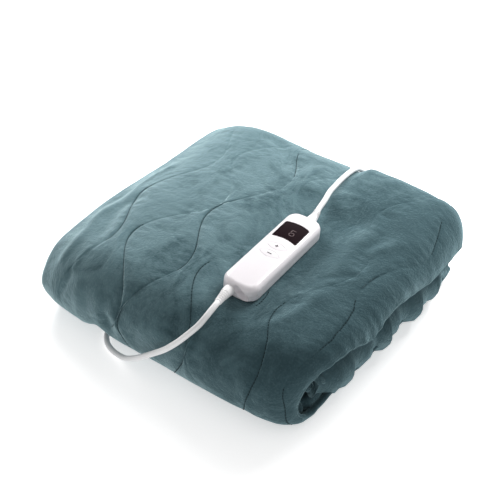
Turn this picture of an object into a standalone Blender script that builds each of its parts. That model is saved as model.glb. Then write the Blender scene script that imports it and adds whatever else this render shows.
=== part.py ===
"""An electric heated blanket: a quilted flannel throw folded into a soft square block, with its hand
control lying on top and its mains lead coiled behind. Metres, +Z up, front edge towards -Y.

The throw is one sheet folded twice. First it is folded in three about lines along Y, which gives a
bundle of three plies. Then the bundle is folded in four about lines along X: it runs along the top,
wraps round the front edge, runs along the bottom, and comes back inside. So the outermost ply shows
on the top, on the front edge and on the underside, and its hem hangs over the +X side.
"""

import math

import bmesh
import bpy
import numpy as np
from mathutils import Matrix, Vector

# ---- The folded throw -------------------------------------------------------------------------
FOLDED_X = 0.404  # across the three-ply folds
FOLDED_Y = 0.396  # across the four-bundle folds
FOLDED_Z = 0.112
PLY = 0.0072  # two layers of flannel with the heating wire between them
PLY_GAP = 0.0020
BUNDLE = 3 * PLY + 2 * PLY_GAP
PITCH = (FOLDED_Z - BUNDLE) / 3  # from one bundle's middle to the next one's
TURN = (PLY + PLY_GAP) / 2  # radius of a ply's middle where it turns back
BACK_BEND = 0.034  # radius of the top bundle's middle where its end bends down behind
BACK_ANGLE = math.radians(58)

WRAP_Y = BUNDLE / 2 + 1.5 * PITCH - FOLDED_Y / 2  # the middle of the front wrap
RISE_Y = FOLDED_Y / 2 - (PITCH + BUNDLE) / 2  # the middle of the turn at the back
BACK_Y = FOLDED_Y / 2 - BUNDLE / 2 - BACK_BEND
HIGH_END_Y = BACK_Y + 0.008

# Quilting: wavy stitch lines along Y, each in antiphase with its neighbours.
LINE_PITCH = 0.053
LINE_FIRST = -0.190
LINE_COUNT = 8
LINE_WAVE = 0.020
LINE_PERIOD = 0.220
LINE_PHASE = -0.130  # where the odd lines swing furthest towards +X
LAST_WAVE = 0.6  # the line nearest the hem swings this much less
PUFF = 0.0034  # how far the cloth stands proud between two lines
CHANNEL_STEPS = 3

# The outer ply's hem, by place along the fold path: it bends towards the inside of the stack at
# a line of constant x, and hangs straight after that.
HEM_ROWS = (
    # part of the path, along it, bend starts at x, bend radius, bend in degrees, straight drop
    ("back", 0.0, 0.164, 0.030, 60, 0.004),
    ("top", 0.05, 0.166, 0.036, 80, 0.020),
    ("top", 0.30, 0.170, 0.034, 82, 0.012),
    ("top", 0.50, 0.176, 0.024, 72, 0.002),
    ("top", 0.70, 0.178, 0.022, 70, 0.004),
    ("top", 0.85, 0.177, 0.022, 76, 0.008),
    ("top", 1.0, 0.173, 0.022, 80, 0.014),
    ("wrap", 0.25, 0.170, 0.022, 84, 0.014),
    ("wrap", 0.60, 0.168, 0.020, 80, 0.008),
    ("wrap", 0.85, 0.168, 0.018, 60, 0.004),
    ("bottom", 0.1, 0.160, 0.024, 56, 0.004),
    ("bottom", 1.0, 0.161, 0.024, 54, 0.004),
    ("rise", 0.5, 0.158, 0.014, 30, 0.0),
    ("low", 0.1, 0.181, 0.012, 78, 0.016),
    ("low", 0.4, 0.174, 0.012, 78, 0.014),
    ("low", 0.9, 0.174, 0.012, 78, 0.014),
    ("inner", 0.5, 0.160, 0.014, 30, 0.0),
    ("high", 0.1, 0.172, 0.012, 66, 0.006),
    ("high", 1.0, 0.170, 0.012, 66, 0.006),
)
# Where the plies turn back, and how far the puckers of the +X side reach there.
FOLD_ROWS = (
    # part of the path, along it, -X turn at x, +X turn at x, share of the pucker depth
    ("back", 0.0, -0.184, 0.164, 0.4),
    ("top", 0.1, -0.188, 0.169, 0.4),
    ("top", 0.8, -0.190, 0.172, 0.5),
    ("wrap", 0.3, -0.187, 0.170, 0.4),
    ("wrap", 0.7, -0.192, 0.168, 0.4),
    ("bottom", 0.1, -0.195, 0.169, 0.3),
    ("bottom", 1.0, -0.192, 0.168, 0.3),
    ("rise", 0.5, -0.192, 0.164, 0.6),
    ("low", 0.1, -0.192, 0.176, 0.8),
    ("low", 0.4, -0.194, 0.170, 1.0),
    ("low", 0.9, -0.206, 0.171, 1.0),
    ("inner", 0.5, -0.208, 0.168, 0.6),
    ("high", 0.1, -0.207, 0.171, 1.0),
    ("high", 1.0, -0.190, 0.169, 1.0),
)
INNER_HEM_X = -0.178  # the innermost ply's hem, near the -X side
HEM_NOMINAL = 0.225  # where the outer ply's hem would be on an even quilt
EVEN_QUILT_TO = LINE_FIRST + 6 * LINE_PITCH  # past this the quilt is stretched to reach the hem
HEM_PULL = 0.3  # how much of a pucker's depth the outer hem follows on the top
INWARD_COLUMNS = (0.0, 0.150, 0.172, 0.192, 0.209, HEM_NOMINAL)

# Upright puckers where the side of the stack is gathered.
PUCKER_ROWS = (
    # at y, depth, half width
    (-0.158, 0.008, 0.010),
    (-0.124, 0.011, 0.012),
    (-0.088, 0.009, 0.010),
    (-0.052, 0.013, 0.012),
    (-0.012, 0.011, 0.013),
    (0.030, 0.010, 0.012),
    (0.066, 0.013, 0.013),
    (0.104, 0.010, 0.011),
    (0.138, 0.008, 0.011),
)

# Unevenness of the whole stack: each row raises or lowers it about a place.
SAG_ROWS = (
    # x, y, spread in x, spread in y, rise as a share of the height
    (0.02, 0.02, 0.16, 0.16, 0.050),
    (-0.214, -0.02, 0.052, 0.60, -0.210),
    (-0.150, 0.180, 0.070, 0.070, 0.060),
    (-0.205, -0.190, 0.080, 0.070, -0.110),
    (0.200, -0.200, 0.080, 0.070, -0.060),
    (0.150, 0.130, 0.070, 0.070, 0.025),
    (-0.020, 0.185, 0.070, 0.050, -0.050),
    (0.040, 0.200, 0.016, 0.060, -0.080),
    (0.210, 0.0, 0.040, 0.60, -0.080),
)
WRAP_FULLNESS = 2.7  # over 2 makes the front wrap squarer towards its foot
# How far each corner is drawn in, as a share of the half width.
CORNER_DRAW = {("-x", "-y"): 0.046, ("+x", "-y"): 0.100, ("-x", "+y"): 0.070, ("+x", "+y"): 0.050}
FOOT_DRAW = 0.060  # and how much further at the floor
FOOT_RISE = 0.050  # the height over which that fades
CORNER_POWER = 6

# Creases of the outer ply, in its own plane: x, and y carried on round the front wrap.
CREASE_ROWS = (
    # from x, y, to x, y, half width, height (a trough is below zero)
    (-0.168, -0.060, -0.160, -0.200, 0.007, 0.0040),
    (-0.150, -0.030, -0.142, -0.150, 0.009, -0.0030),
    (-0.060, -0.200, -0.030, -0.280, 0.008, 0.0035),
    (-0.075, -0.215, -0.070, -0.280, 0.006, -0.0030),
    (0.020, 0.190, 0.035, 0.030, 0.012, -0.0040),
    (0.110, 0.120, 0.160, -0.020, 0.012, -0.0030),
    (0.100, -0.170, 0.155, -0.060, 0.010, 0.0030),
    (-0.120, 0.170, -0.020, 0.110, 0.010, -0.0025),
)

# Stations along the fold path and their number in each part of it.
PATH_STEPS = (
    ("back", 4),
    ("top", 22),
    ("wrap", 14),
    ("bottom", 10),
    ("rise", 5),
    ("low", 24),
    ("inner", 4),
    ("high", 10),
)
PATH_ORDER = [name for name, _ in PATH_STEPS]

LEAD_SIZE = 0.0068

# ---- The hand control, in its own frame: x across, y to its upper end, z up from its underside ----
CONTROL_AT = (0.0635, -0.0550)
CONTROL_TURN = math.radians(3.4)
CONTROL_LENGTH = 0.150
CONTROL_WIDTH = 0.044
CONTROL_CORNER = 0.013
BASE_HEIGHT = 0.0085
COVER_HEIGHT = 0.0225
CLEAR = 0.0003  # between two pieces that touch
SEAT_Z = 0.1075  # the cloth under the control is pressed flat at this height
SEAT_MARGIN = 0.009
SEAT_SLOPE = 0.028
CONTROL_Z = SEAT_Z + CLEAR

DISPLAY_HALF = 0.0160
DISPLAY_BOTTOM = 0.0185
DISPLAY_TOP = 0.0510
DISPLAY_BOW = 0.0035
PLATE = 0.0010  # thickness of the display window and of the keys
KEYS = (
    # name, y of its middle, half length across, half width, how far it stands above the cover
    ("control_key_plus", 0.0050, 0.0125, 0.0048, 0.0004),
    ("control_key_minus", -0.0105, 0.0125, 0.0048, 0.0004),
)
RELIEF_LENGTH = 0.024
RELIEF_ROOT = 0.0066  # half width where it leaves the housing
RELIEF_Z = 0.0098
RELIEF_SQUASH = 0.92  # height over width
RELIEF_TIP = LEAD_SIZE / 2 + 0.0009
RELIEFS = (
    # name, x of its middle, end of the control, sideways lean over its length
    ("control_relief_lower", -0.0070, -1, -0.0020),
    ("control_relief_upper", 0.0030, 1, 0.0010),
)

# ---- The leads --------------------------------------------------------------------------------
LEAD_STEP = 2 * LEAD_SIZE  # between the points of a tube
# From the control's lower end, down the front face, and along the floor to under the front fold.
BLANKET_LEAD_ROUTE = (
    (0.0604, -0.1557, 0.1176),
    (0.0606, -0.1640, 0.1172),
    (0.0602, -0.1750, 0.1130),
    (0.0565, -0.1860, 0.1055),
    (0.0500, -0.1945, 0.0960),
    (0.0420, -0.2005, 0.0860),
    (0.0325, -0.2040, 0.0750),
    (0.0235, -0.2060, 0.0655),
    (0.0120, -0.2070, 0.0550),
    (-0.0010, -0.2070, 0.0430),
    (-0.0150, -0.2055, 0.0310),
    (-0.0300, -0.2030, 0.0190),
    (-0.0440, -0.1995, 0.0095),
    (-0.0580, -0.1965, 0.0050),
    (-0.0700, -0.1940, 0.0044),
    (-0.0810, -0.1890, 0.0044),
    (-0.0890, -0.1820, 0.0046),
    (-0.0950, -0.1740, 0.0050),
)
GLAND_TO = (-0.1050, -0.1605, 0.0056)
GLAND_RADIUS = 0.0052
# The front fold rides up over the gland: the middle of the hollow, its spread, and its height.
TUNNEL_AT = (-0.1000, -0.1640)
TUNNEL_SPREAD = (0.019, 0.034)
TUNNEL_RISE = 0.0185
TUNNEL_FLOOR = 0.0010
# From the control's upper end, over the back edge, and down to the coil on the floor.
MAINS_LEAD_ROUTE = (
    (0.0616, 0.0454, 0.1176),
    (0.0606, 0.0530, 0.1182),
    (0.0580, 0.0610, 0.1205),
    (0.0545, 0.0700, 0.1228),
    (0.0495, 0.0863, 0.1238),
    (0.0450, 0.1020, 0.1234),
    (0.0400, 0.1200, 0.1220),
    (0.0368, 0.1350, 0.1202),
    (0.0355, 0.1490, 0.1178),
    (0.0358, 0.1620, 0.1140),
    (0.0366, 0.1740, 0.1075),
    (0.0374, 0.1850, 0.0985),
    (0.0380, 0.1945, 0.0860),
    (0.0382, 0.2010, 0.0710),
    (0.0382, 0.2045, 0.0540),
    (0.0381, 0.2065, 0.0380),
    (0.0378, 0.2100, 0.0235),
    (0.0370, 0.2165, 0.0125),
    (0.0352, 0.2255, 0.0062),
    (0.0315, 0.2350, 0.0040),
    (0.0290, 0.2450, 0.0038),
)
COIL_AT = (-0.0241, 0.2490)
COIL_PITCH = LEAD_SIZE + 0.00005
COIL_LAYERS = 2
COIL_TURNS = 2.49  # in each layer, wound inwards and then outwards
COIL_INNER = 0.0290  # radius of the innermost turn's middle
COIL_WIDE = COIL_TURNS * COIL_PITCH + LEAD_SIZE
COIL_TALL = COIL_LAYERS * COIL_PITCH
COIL_MEAN = COIL_INNER + (COIL_WIDE - LEAD_SIZE) / 2
COIL_Z = 0.0012
TIE_ANGLE = math.radians(75)
TIE_WIDTH = 0.010
TIE_THICK = 0.0008
TIE_ROOM = 0.0008  # the band is straight and the turns curve away inside it
TAIL_RADIUS = 0.0280
PLUG_Z = 0.0125
PLUG_BODY = 0.036  # length along the lead
PLUG_WIDE = 0.036
PLUG_TALL = 0.0246
PLUG_RELIEF = 0.022
PIN_LENGTH = 0.019
PIN_RADIUS = 0.0024
PIN_APART = 0.0187


def smooth(share):
    share = np.clip(share, 0.0, 1.0)
    return share * share * (3.0 - 2.0 * share)


def along_rows(rows, place):
    """Reads the columns of a table of (part of the path, along it, ...) at places along the path."""
    keys = [PATH_ORDER.index(row[0]) + row[1] for row in rows]
    columns = np.array([row[2:] for row in rows], float).T
    return [np.interp(place, keys, column) for column in columns]


def fold_path():
    """Stations of the bundle's middle: place along the path, y, z, the outward normal's y and z, and the
    y that the outer ply's face would have if it were laid flat."""
    stations = []
    outer = FOLDED_Z / 2
    bottom_z = BUNDLE / 2
    low_z, high_z, top_z = (bottom_z + PITCH * level for level in (1, 2, 3))
    wrap_flat = WRAP_Y - math.pi * outer
    bottom_flat = wrap_flat - (RISE_Y - WRAP_Y)
    for order, (part, steps) in enumerate(PATH_STEPS):
        last = part == PATH_STEPS[-1][0]
        for step in range(steps + last):
            share = step / steps
            if part == "back":
                angle = BACK_ANGLE * (1 - share)
                y = BACK_Y + BACK_BEND * math.sin(angle)
                z = top_z - BACK_BEND * (1 - math.cos(angle))
                ny, nz = math.sin(angle), math.cos(angle)
                flat = BACK_Y + (BACK_BEND + BUNDLE / 2) * angle
            elif part == "top":
                y = BACK_Y + (WRAP_Y - BACK_Y) * share
                z, ny, nz, flat = top_z, 0.0, 1.0, y
            elif part == "wrap":
                angle = math.pi * share
                ny, nz = -math.sin(angle), math.cos(angle)
                y = WRAP_Y + 1.5 * PITCH * ny
                z = outer + 1.5 * PITCH * nz
                flat = WRAP_Y - outer * angle
            elif part == "bottom":
                y = WRAP_Y + (RISE_Y - WRAP_Y) * share
                z, ny, nz, flat = bottom_z, 0.0, -1.0, wrap_flat - (y - WRAP_Y)
            elif part == "rise":
                angle = math.pi * share
                ny, nz = math.sin(angle), -math.cos(angle)
                y = RISE_Y + PITCH / 2 * ny
                z = bottom_z + PITCH / 2 * (1 + nz)
                flat = bottom_flat - outer / 2 * angle
            elif part == "low":
                y = RISE_Y + (WRAP_Y - RISE_Y) * share
                z, ny, nz, flat = low_z, 0.0, 1.0, y
            elif part == "inner":
                angle = math.pi * share
                ny, nz = math.sin(angle), math.cos(angle)
                y = WRAP_Y - PITCH / 2 * ny
                z = low_z + PITCH / 2 * (1 - nz)
                flat = y
            else:
                y = WRAP_Y + (HIGH_END_Y - WRAP_Y) * share
                z, ny, nz, flat = high_z, 0.0, -1.0, y
            stations.append((order + share, y, z, ny, nz, flat))
    return [np.array(column) for column in zip(*stations)]


def pucker_depth(y):
    depth = np.zeros_like(y)
    for at, deep, half in PUCKER_ROWS:
        depth += deep * np.exp(-(((y - at) / half) ** 2))
    return depth


def seat_share(x, y):
    """1 where the control presses the cloth flat, falling to 0 around it."""
    east, north = x - CONTROL_AT[0], y - CONTROL_AT[1]
    across = east * math.cos(CONTROL_TURN) + north * math.sin(CONTROL_TURN)
    along = north * math.cos(CONTROL_TURN) - east * math.sin(CONTROL_TURN)
    out_x = np.maximum(np.abs(across) - CONTROL_WIDTH / 2 - SEAT_MARGIN, 0)
    out_y = np.maximum(np.abs(along) - CONTROL_LENGTH / 2 - RELIEF_LENGTH - SEAT_MARGIN, 0)
    return smooth(1 - np.hypot(out_x, out_y) / SEAT_SLOPE)


def line_wave(index, flat):
    swing = LINE_WAVE * np.cos(2 * math.pi * (flat - LINE_PHASE) / LINE_PERIOD)
    if index == LINE_COUNT - 1:
        swing = swing * LAST_WAVE
    return swing if index % 2 else -swing


def quilted(column, flat):
    """Where a column of the quilting lies along the outer ply, and how far the cloth stands up there. The
    column is counted in stitch lines, so 2.5 is halfway between the third and the fourth line."""
    before = int(math.floor(column))
    share = column - before
    wave = (1 - share) * line_wave(before, flat) + share * line_wave(before + 1, flat)
    nominal = LINE_FIRST + column * LINE_PITCH
    return nominal + wave, PUFF * math.sin(math.pi * share) ** 0.8


def crease_height(x, flat):
    height = np.zeros_like(flat)
    for x0, y0, x1, y1, half, tall in CREASE_ROWS:
        length = math.hypot(x1 - x0, y1 - y0)
        along = ((x - x0) * (x1 - x0) + (flat - y0) * (y1 - y0)) / length
        aside = ((x - x0) * (y1 - y0) - (flat - y0) * (x1 - x0)) / length
        inside = smooth(np.sin(np.pi * np.clip(along / length, 0, 1)) * 1.4)
        height += tall * inside * np.exp(-((aside / half) ** 2))
    return height


def ply_one(reach, side, hem, turn_x):
    """A point of the outer ply, whose middle runs from its -X turn to its hem. reach is the distance along
    it, counted as x on the flat stretch."""
    bend_x, radius, angle = hem
    past = np.maximum(reach - bend_x, 0)
    angle_here = np.minimum(past / radius, angle)
    straight = np.maximum(past - radius * angle, 0)
    x = np.minimum(reach, bend_x) + radius * np.sin(angle_here) + straight * np.cos(angle)
    h = 2 * TURN - radius * (1 - np.cos(angle_here)) - straight * np.sin(angle)
    x = np.maximum(x, turn_x)
    return x + side * np.sin(angle_here), h + side * np.cos(angle_here), angle_here


def turn(at_x, at_h, radius, angles, sign):
    """Columns round a fold, about a line at at_x and at_h: 0 degrees is up and 180 is down."""
    columns = []
    for angle in np.radians(angles):
        x = at_x + sign * radius * math.sin(angle)
        columns.append((x, np.full_like(x, at_h + radius * math.cos(angle))))
    return columns


def between(start_x, end_x, at_h, shares):
    return [(start_x + (end_x - start_x) * share, np.full_like(start_x, at_h)) for share in shares]


def stretched(nominal, reach_end):
    """Carries a place on the even quilt to its place on the outer ply, whose hem lies at reach_end."""
    beyond = np.maximum(nominal - EVEN_QUILT_TO, 0)
    scale = (reach_end - EVEN_QUILT_TO) / (HEM_NOMINAL - EVEN_QUILT_TO)
    return np.minimum(nominal, EVEN_QUILT_TO) + beyond * scale


def outer_face(path, hem, reach_end, left):
    """The outer ply's quilted face, from its hem to the -X turn."""
    place, _, _, _, _, flat = path
    shown = smooth((PATH_ORDER.index("bottom") - 0.2 - place) / 0.35)
    last = LINE_COUNT - 1
    last_line = LINE_FIRST + last * LINE_PITCH
    columns = []
    for share in (1.0, 0.7, 0.35):
        nominal = last_line + (HEM_NOMINAL - last_line) * share + (1 - share) * line_wave(last, flat)
        columns.append(ply_one(stretched(nominal, reach_end), PLY / 2, hem, left)[:2])
    for step in range(last * CHANNEL_STEPS):
        nominal, puff = quilted(last - step / CHANNEL_STEPS, flat)
        reach = stretched(nominal, reach_end)
        rise = (puff + crease_height(reach, flat)) * (1 - seat_share(reach, flat))
        columns.append(ply_one(reach, PLY / 2 + rise * shown, hem, left)[:2])
    return columns


def hem_edge(hem, reach_end, left):
    """Round the outer ply's hem, back to its outward face."""
    columns = []
    for angle in np.radians((-45, 0, 45)):
        x, h, bent = ply_one(reach_end, PLY / 2 * math.sin(angle), hem, left)
        out = PLY / 2 * math.cos(angle)
        columns.append((x + out * np.cos(bent), h - out * np.sin(bent)))
    return columns


def section_columns(path):
    """The bundle's section as a closed loop of columns. Each column is a pair of arrays over the stations:
    x, and the height above the bundle's middle, towards the outer ply."""
    place, y, _, _, _, _ = path
    bend_x, radius, degrees, drop = along_rows(HEM_ROWS, place)
    left, right, gathered = along_rows(FOLD_ROWS, place)
    pull = pucker_depth(y) * gathered
    right = right - pull
    bend_x = bend_x - pull * np.where(place > PATH_ORDER.index("rise"), 1.0, HEM_PULL)
    hem = (bend_x, radius, np.radians(degrees))
    reach_end = bend_x + radius * hem[2] + drop
    inner_hem = np.full_like(y, INNER_HEM_X)
    half = PLY / 2
    return [
        *outer_face(path, hem, reach_end, left),
        # Round the -X turn, along the middle ply's under face, and inside the +X turn.
        *turn(left, TURN, TURN + half, (0, 45, 90, 135, 180), -1),
        *between(left, right, -half, (0.35, 0.7)),
        *turn(right, -TURN, TURN - half, (0, 60, 120, 180), 1),
        # The innermost ply: its upper face, its hem and its under face. Then outside the +X turn.
        *between(right, inner_hem, half - 2 * TURN, (0.5,)),
        *turn(inner_hem, -2 * TURN, half, (0, 90, 180), -1),
        *between(inner_hem, right, -half - 2 * TURN, (0.5,)),
        *turn(right, -TURN, TURN + half, (180, 150, 120, 90, 60, 30, 0), 1),
        # The middle ply's upper face, inside the -X turn, and the outer ply's inward face.
        *between(right, left, half, (0.3, 0.65)),
        *turn(left, TURN, TURN - half, (180, 120, 60, 0), -1),
        *(ply_one(stretched(np.full_like(y, at), reach_end), -half, hem, left)[:2] for at in INWARD_COLUMNS),
        *hem_edge(hem, reach_end, left),
    ]


def fuller_wrap(y, z):
    """Moves the lower half of the front wrap outwards, away from the wrap's middle."""
    ahead = np.maximum(WRAP_Y - y, 0)
    below = np.maximum(FOLDED_Z / 2 - z, 0)
    radius = np.hypot(ahead, below)
    spread = np.maximum(ahead**WRAP_FULLNESS + below**WRAP_FULLNESS, 1e-12) ** (1 / WRAP_FULLNESS)
    full = np.where((ahead > 0) & (below > 0), radius / spread, 1.0)
    return y - ahead * (full - 1), z - below * (full - 1)


def settled(x, y, z):
    """Lets the stack sag: the corners draw in, the top crowns, and the control presses its seat flat."""
    y, z = fuller_wrap(y, z)
    share_x = np.abs(x) / (FOLDED_X / 2)
    share_y = np.abs(y) / (FOLDED_Y / 2)
    lift = np.ones_like(x)
    for at_x, at_y, wide_x, wide_y, rise in SAG_ROWS:
        lift += rise * np.exp(-(((x - at_x) / wide_x) ** 2) - ((y - at_y) / wide_y) ** 2)
    seat = seat_share(x, y)
    lift = lift * (1 - seat) + seat * SEAT_Z / FOLDED_Z
    right = smooth(x / FOLDED_X + 0.5)
    behind = smooth(y / FOLDED_Y + 0.5)
    draw = (
        CORNER_DRAW["-x", "-y"] * (1 - right) * (1 - behind)
        + CORNER_DRAW["+x", "-y"] * right * (1 - behind)
        + CORNER_DRAW["-x", "+y"] * (1 - right) * behind
        + CORNER_DRAW["+x", "+y"] * right * behind
    )
    z = z * lift
    draw = draw + FOOT_DRAW * (1 - smooth(z / FOOT_RISE)) * (1 - right) * (1 - behind)
    raised = TUNNEL_RISE * np.exp(-(((x - TUNNEL_AT[0]) / TUNNEL_SPREAD[0]) ** 2))
    raised *= np.exp(-(((y - TUNNEL_AT[1]) / TUNNEL_SPREAD[1]) ** 2))
    z = z + np.where(raised > TUNNEL_FLOOR, raised - TUNNEL_FLOOR, 0) * (1 - smooth(z / FOLDED_Z))
    return (
        x * (1 - draw * share_y**CORNER_POWER),
        y * (1 - draw * share_x**CORNER_POWER),
        np.maximum(z, 0.0),
    )


def make_blanket():
    path = fold_path()
    _, y, z, ny, nz, _ = path
    columns = section_columns(path)
    grid = np.array([settled(x, y + h * ny, z + h * nz) for x, h in columns])
    return loft("blanket", grid.transpose(2, 0, 1))


def loft(name, rings):
    """A closed skin through rings of points (ring, point, xyz), with a cap at each end."""
    mesh = bmesh.new()
    loops = [[mesh.verts.new(point) for point in ring] for ring in rings]
    count = len(loops[0])
    for first, second in zip(loops, loops[1:]):
        for at in range(count):
            after = (at + 1) % count
            mesh.faces.new((first[at], first[after], second[after], second[at]))
    mesh.faces.new(loops[0][::-1])
    mesh.faces.new(loops[-1])
    bmesh.ops.triangulate(mesh, faces=mesh.faces[:])
    bmesh.ops.recalc_face_normals(mesh, faces=mesh.faces[:])
    data = bpy.data.meshes.new(name)
    mesh.to_mesh(data)
    mesh.free()
    data.shade_smooth()
    data.set_sharp_from_angle(angle=math.radians(50))
    made = bpy.data.objects.new(name, data)
    bpy.context.collection.objects.link(made)
    return made


def finish(made, name, colour, roughness, metallic=0.0):
    material = bpy.data.materials.new(name)
    material.use_nodes = True
    shader = material.node_tree.nodes["Principled BSDF"]
    shader.inputs["Base Color"].default_value = (*colour, 1.0)
    shader.inputs["Roughness"].default_value = roughness
    shader.inputs["Metallic"].default_value = metallic
    made.data.materials.append(material)


def rounded_outline(half_x, half_y, radius, bow=0.0, corner_steps=5):
    """Points round a rectangle with rounded corners, whose short ends bow out by bow."""
    points = []
    for quarter, (sign_x, sign_y) in enumerate(((1, 1), (-1, 1), (-1, -1), (1, -1))):
        for step in range(corner_steps + 1):
            angle = math.pi / 2 * (quarter + step / corner_steps)
            x = sign_x * (half_x - radius) + radius * math.cos(angle)
            y = sign_y * (half_y - radius) + radius * math.sin(angle)
            points.append((x, y))
        if bow and quarter in (0, 2):
            points.append((0.0, sign_y * half_y))
    return [(x, y + math.copysign(bow * (1 - (x / half_x) ** 2), y)) for x, y in points]


def housing_rings(profile):
    """Rings of the control's outline, one for each (height, inset) of the profile."""
    half_x, half_y = CONTROL_WIDTH / 2, CONTROL_LENGTH / 2
    rings = []
    for z, inset in profile:
        outline = rounded_outline(
            half_x - inset, half_y - inset - 0.003, max(CONTROL_CORNER - inset * 0.6, 0.004), 0.003
        )
        rings.append([(x, y, z) for x, y in outline])
    return rings


def display_outline(grow=0.0):
    """The window below the upper end: straight sides, upper and lower edges bowed towards the upper end."""
    points = []
    half = DISPLAY_HALF + grow
    for level, sign in ((DISPLAY_BOTTOM - grow, 1), (DISPLAY_TOP + grow, -1)):
        for step in range(7):
            x = sign * half * (step / 3 - 1)
            round_corner = 0.0022 * abs(x / half) ** 8 * sign
            points.append((x, level + DISPLAY_BOW * (1 - (x / half) ** 2) + round_corner))
    return points


def key_outline(half_x, half_y, middle, grow=0.0):
    """A lens: two arcs that meet at blunt points."""
    points = []
    for step in range(20):
        angle = 2 * math.pi * step / 20
        x = (half_x + grow) * math.cos(angle)
        points.append((x, middle + (half_y + grow) * math.sin(angle) * (1.15 - 0.35 * math.cos(angle) ** 2)))
    return points


def prism(name, outline, low, high):
    return loft(name, [[(x, y, z) for x, y in outline] for z in (low, high)])


def on_control(made):
    made.location = (*CONTROL_AT, CONTROL_Z)
    made.rotation_euler = (0, 0, CONTROL_TURN)
    return made


def cut_from(made, cutter):
    """Cuts a pocket, and keeps the cutter out of the model."""
    on_control(cutter)
    cutter.hide_render = True
    cutter.display_type = "WIRE"
    pocket = made.modifiers.new("pocket", "BOOLEAN")
    pocket.operation = "DIFFERENCE"
    pocket.object = cutter


def make_control():
    white = ((0.83, 0.81, 0.82), 0.35)
    base_profile = ((0, 0.0035), (0.0012, 0.0012), (0.0035, 0.0), (BASE_HEIGHT, 0.0))
    base = on_control(loft("control_base", housing_rings(base_profile)))
    finish(base, "base plastic", *white)
    cover_profile = (
        (BASE_HEIGHT + CLEAR, 0.0),
        (0.0160, 0.0004),
        (0.0195, 0.0014),
        (0.0215, 0.0030),
        (COVER_HEIGHT, 0.0055),
    )
    cover = on_control(loft("control_cover", housing_rings(cover_profile)))
    finish(cover, "cover plastic", *white)
    floor = COVER_HEIGHT - PLATE - CLEAR
    cut_from(cover, prism("display_pocket", display_outline(CLEAR), floor, COVER_HEIGHT + 0.002))
    display = on_control(prism("control_display", display_outline(), floor + CLEAR, COVER_HEIGHT))
    finish(display, "display window", (0.01, 0.01, 0.012), 0.08)
    for name, middle, half_x, half_y, proud in KEYS:
        pocket = key_outline(half_x, half_y, middle, CLEAR)
        cut_from(cover, prism(name + "_pocket", pocket, floor, COVER_HEIGHT + 0.002))
        outline = key_outline(half_x, half_y, middle)
        key = on_control(prism(name, outline, floor + CLEAR, COVER_HEIGHT + proud))
        finish(key, name + " plastic", *white)
    for name, middle, end, lean in RELIEFS:
        rings = []
        start = CONTROL_LENGTH / 2 + CLEAR
        for share in (0.0, 0.15, 0.4, 0.7, 1.0):
            half = RELIEF_ROOT + (RELIEF_TIP - RELIEF_ROOT) * smooth(share)
            ring = []
            for step in range(12):
                angle = 2 * math.pi * step / 12
                x = middle + lean * share**2 + half * math.cos(angle)
                z = RELIEF_Z + half * RELIEF_SQUASH * math.sin(angle)
                ring.append((x, end * (start + RELIEF_LENGTH * share), z))
            rings.append(ring)
        relief = on_control(loft(name, rings))
        finish(relief, name + " rubber", (0.80, 0.79, 0.80), 0.5)


def smooth_route(points, step):
    """Points a step apart along a smooth curve through the route's points."""
    points = [Vector(point) for point in points]
    padded = [2 * points[0] - points[1], *points, 2 * points[-1] - points[-2]]
    fine = []
    for a, b, c, d in zip(padded, padded[1:], padded[2:], padded[3:]):
        for part in range(12):
            t = part / 12
            curve = (2 * a - 5 * b + 4 * c - d) * t**2 + (3 * b - a - 3 * c + d) * t**3
            fine.append(0.5 * (2 * b + (c - a) * t + curve))
    fine.append(points[-1])
    reach = [0.0]
    for before, after in zip(fine, fine[1:]):
        reach.append(reach[-1] + (after - before).length)
    count = max(2, round(reach[-1] / step))
    places = [reach[-1] * at / count for at in range(count + 1)]
    return [Vector(np.interp(place, reach, axis) for axis in zip(*fine)) for place in places]


def make_tube(name, route, radius=LEAD_SIZE / 2):
    curve = bpy.data.curves.new(name, "CURVE")
    curve.dimensions = "3D"
    spline = curve.splines.new("POLY")
    points = smooth_route(route, LEAD_STEP)
    spline.points.add(len(points) - 1)
    for point, place in zip(spline.points, points):
        point.co = (*place, 1.0)
    curve.bevel_depth = radius
    curve.bevel_resolution = 2
    curve.use_fill_caps = True
    tube = bpy.data.objects.new(name, curve)
    bpy.context.collection.objects.link(tube)
    finish(tube, name + " sheath", (0.82, 0.82, 0.82), 0.4)
    return tube


def turned(name, rows, steps=14):
    """A round solid along +X from rows of (x, half width in y, half height in z)."""
    rings = []
    for x, wide, tall in rows:
        ring = []
        for step in range(steps):
            angle = 2 * math.pi * step / steps
            ring.append((x, wide * math.cos(angle), tall * math.sin(angle)))
        rings.append(ring)
    return loft(name, rings)


def make_gland():
    start = Vector(BLANKET_LEAD_ROUTE[-1])
    axis = Vector(GLAND_TO) - start
    start = start + axis.normalized() * CLEAR * 1.6
    length = axis.length
    rows = ((0, LEAD_SIZE / 2 + 0.0006), (length * 0.3, GLAND_RADIUS), (length, GLAND_RADIUS))
    gland = turned("blanket_gland", [(x, wide, wide) for x, wide in rows], steps=12)
    gland.matrix_world = Matrix.Translation(start) @ axis.to_track_quat("X", "Z").to_matrix().to_4x4()
    finish(gland, "gland rubber", (0.78, 0.78, 0.79), 0.5)


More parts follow.
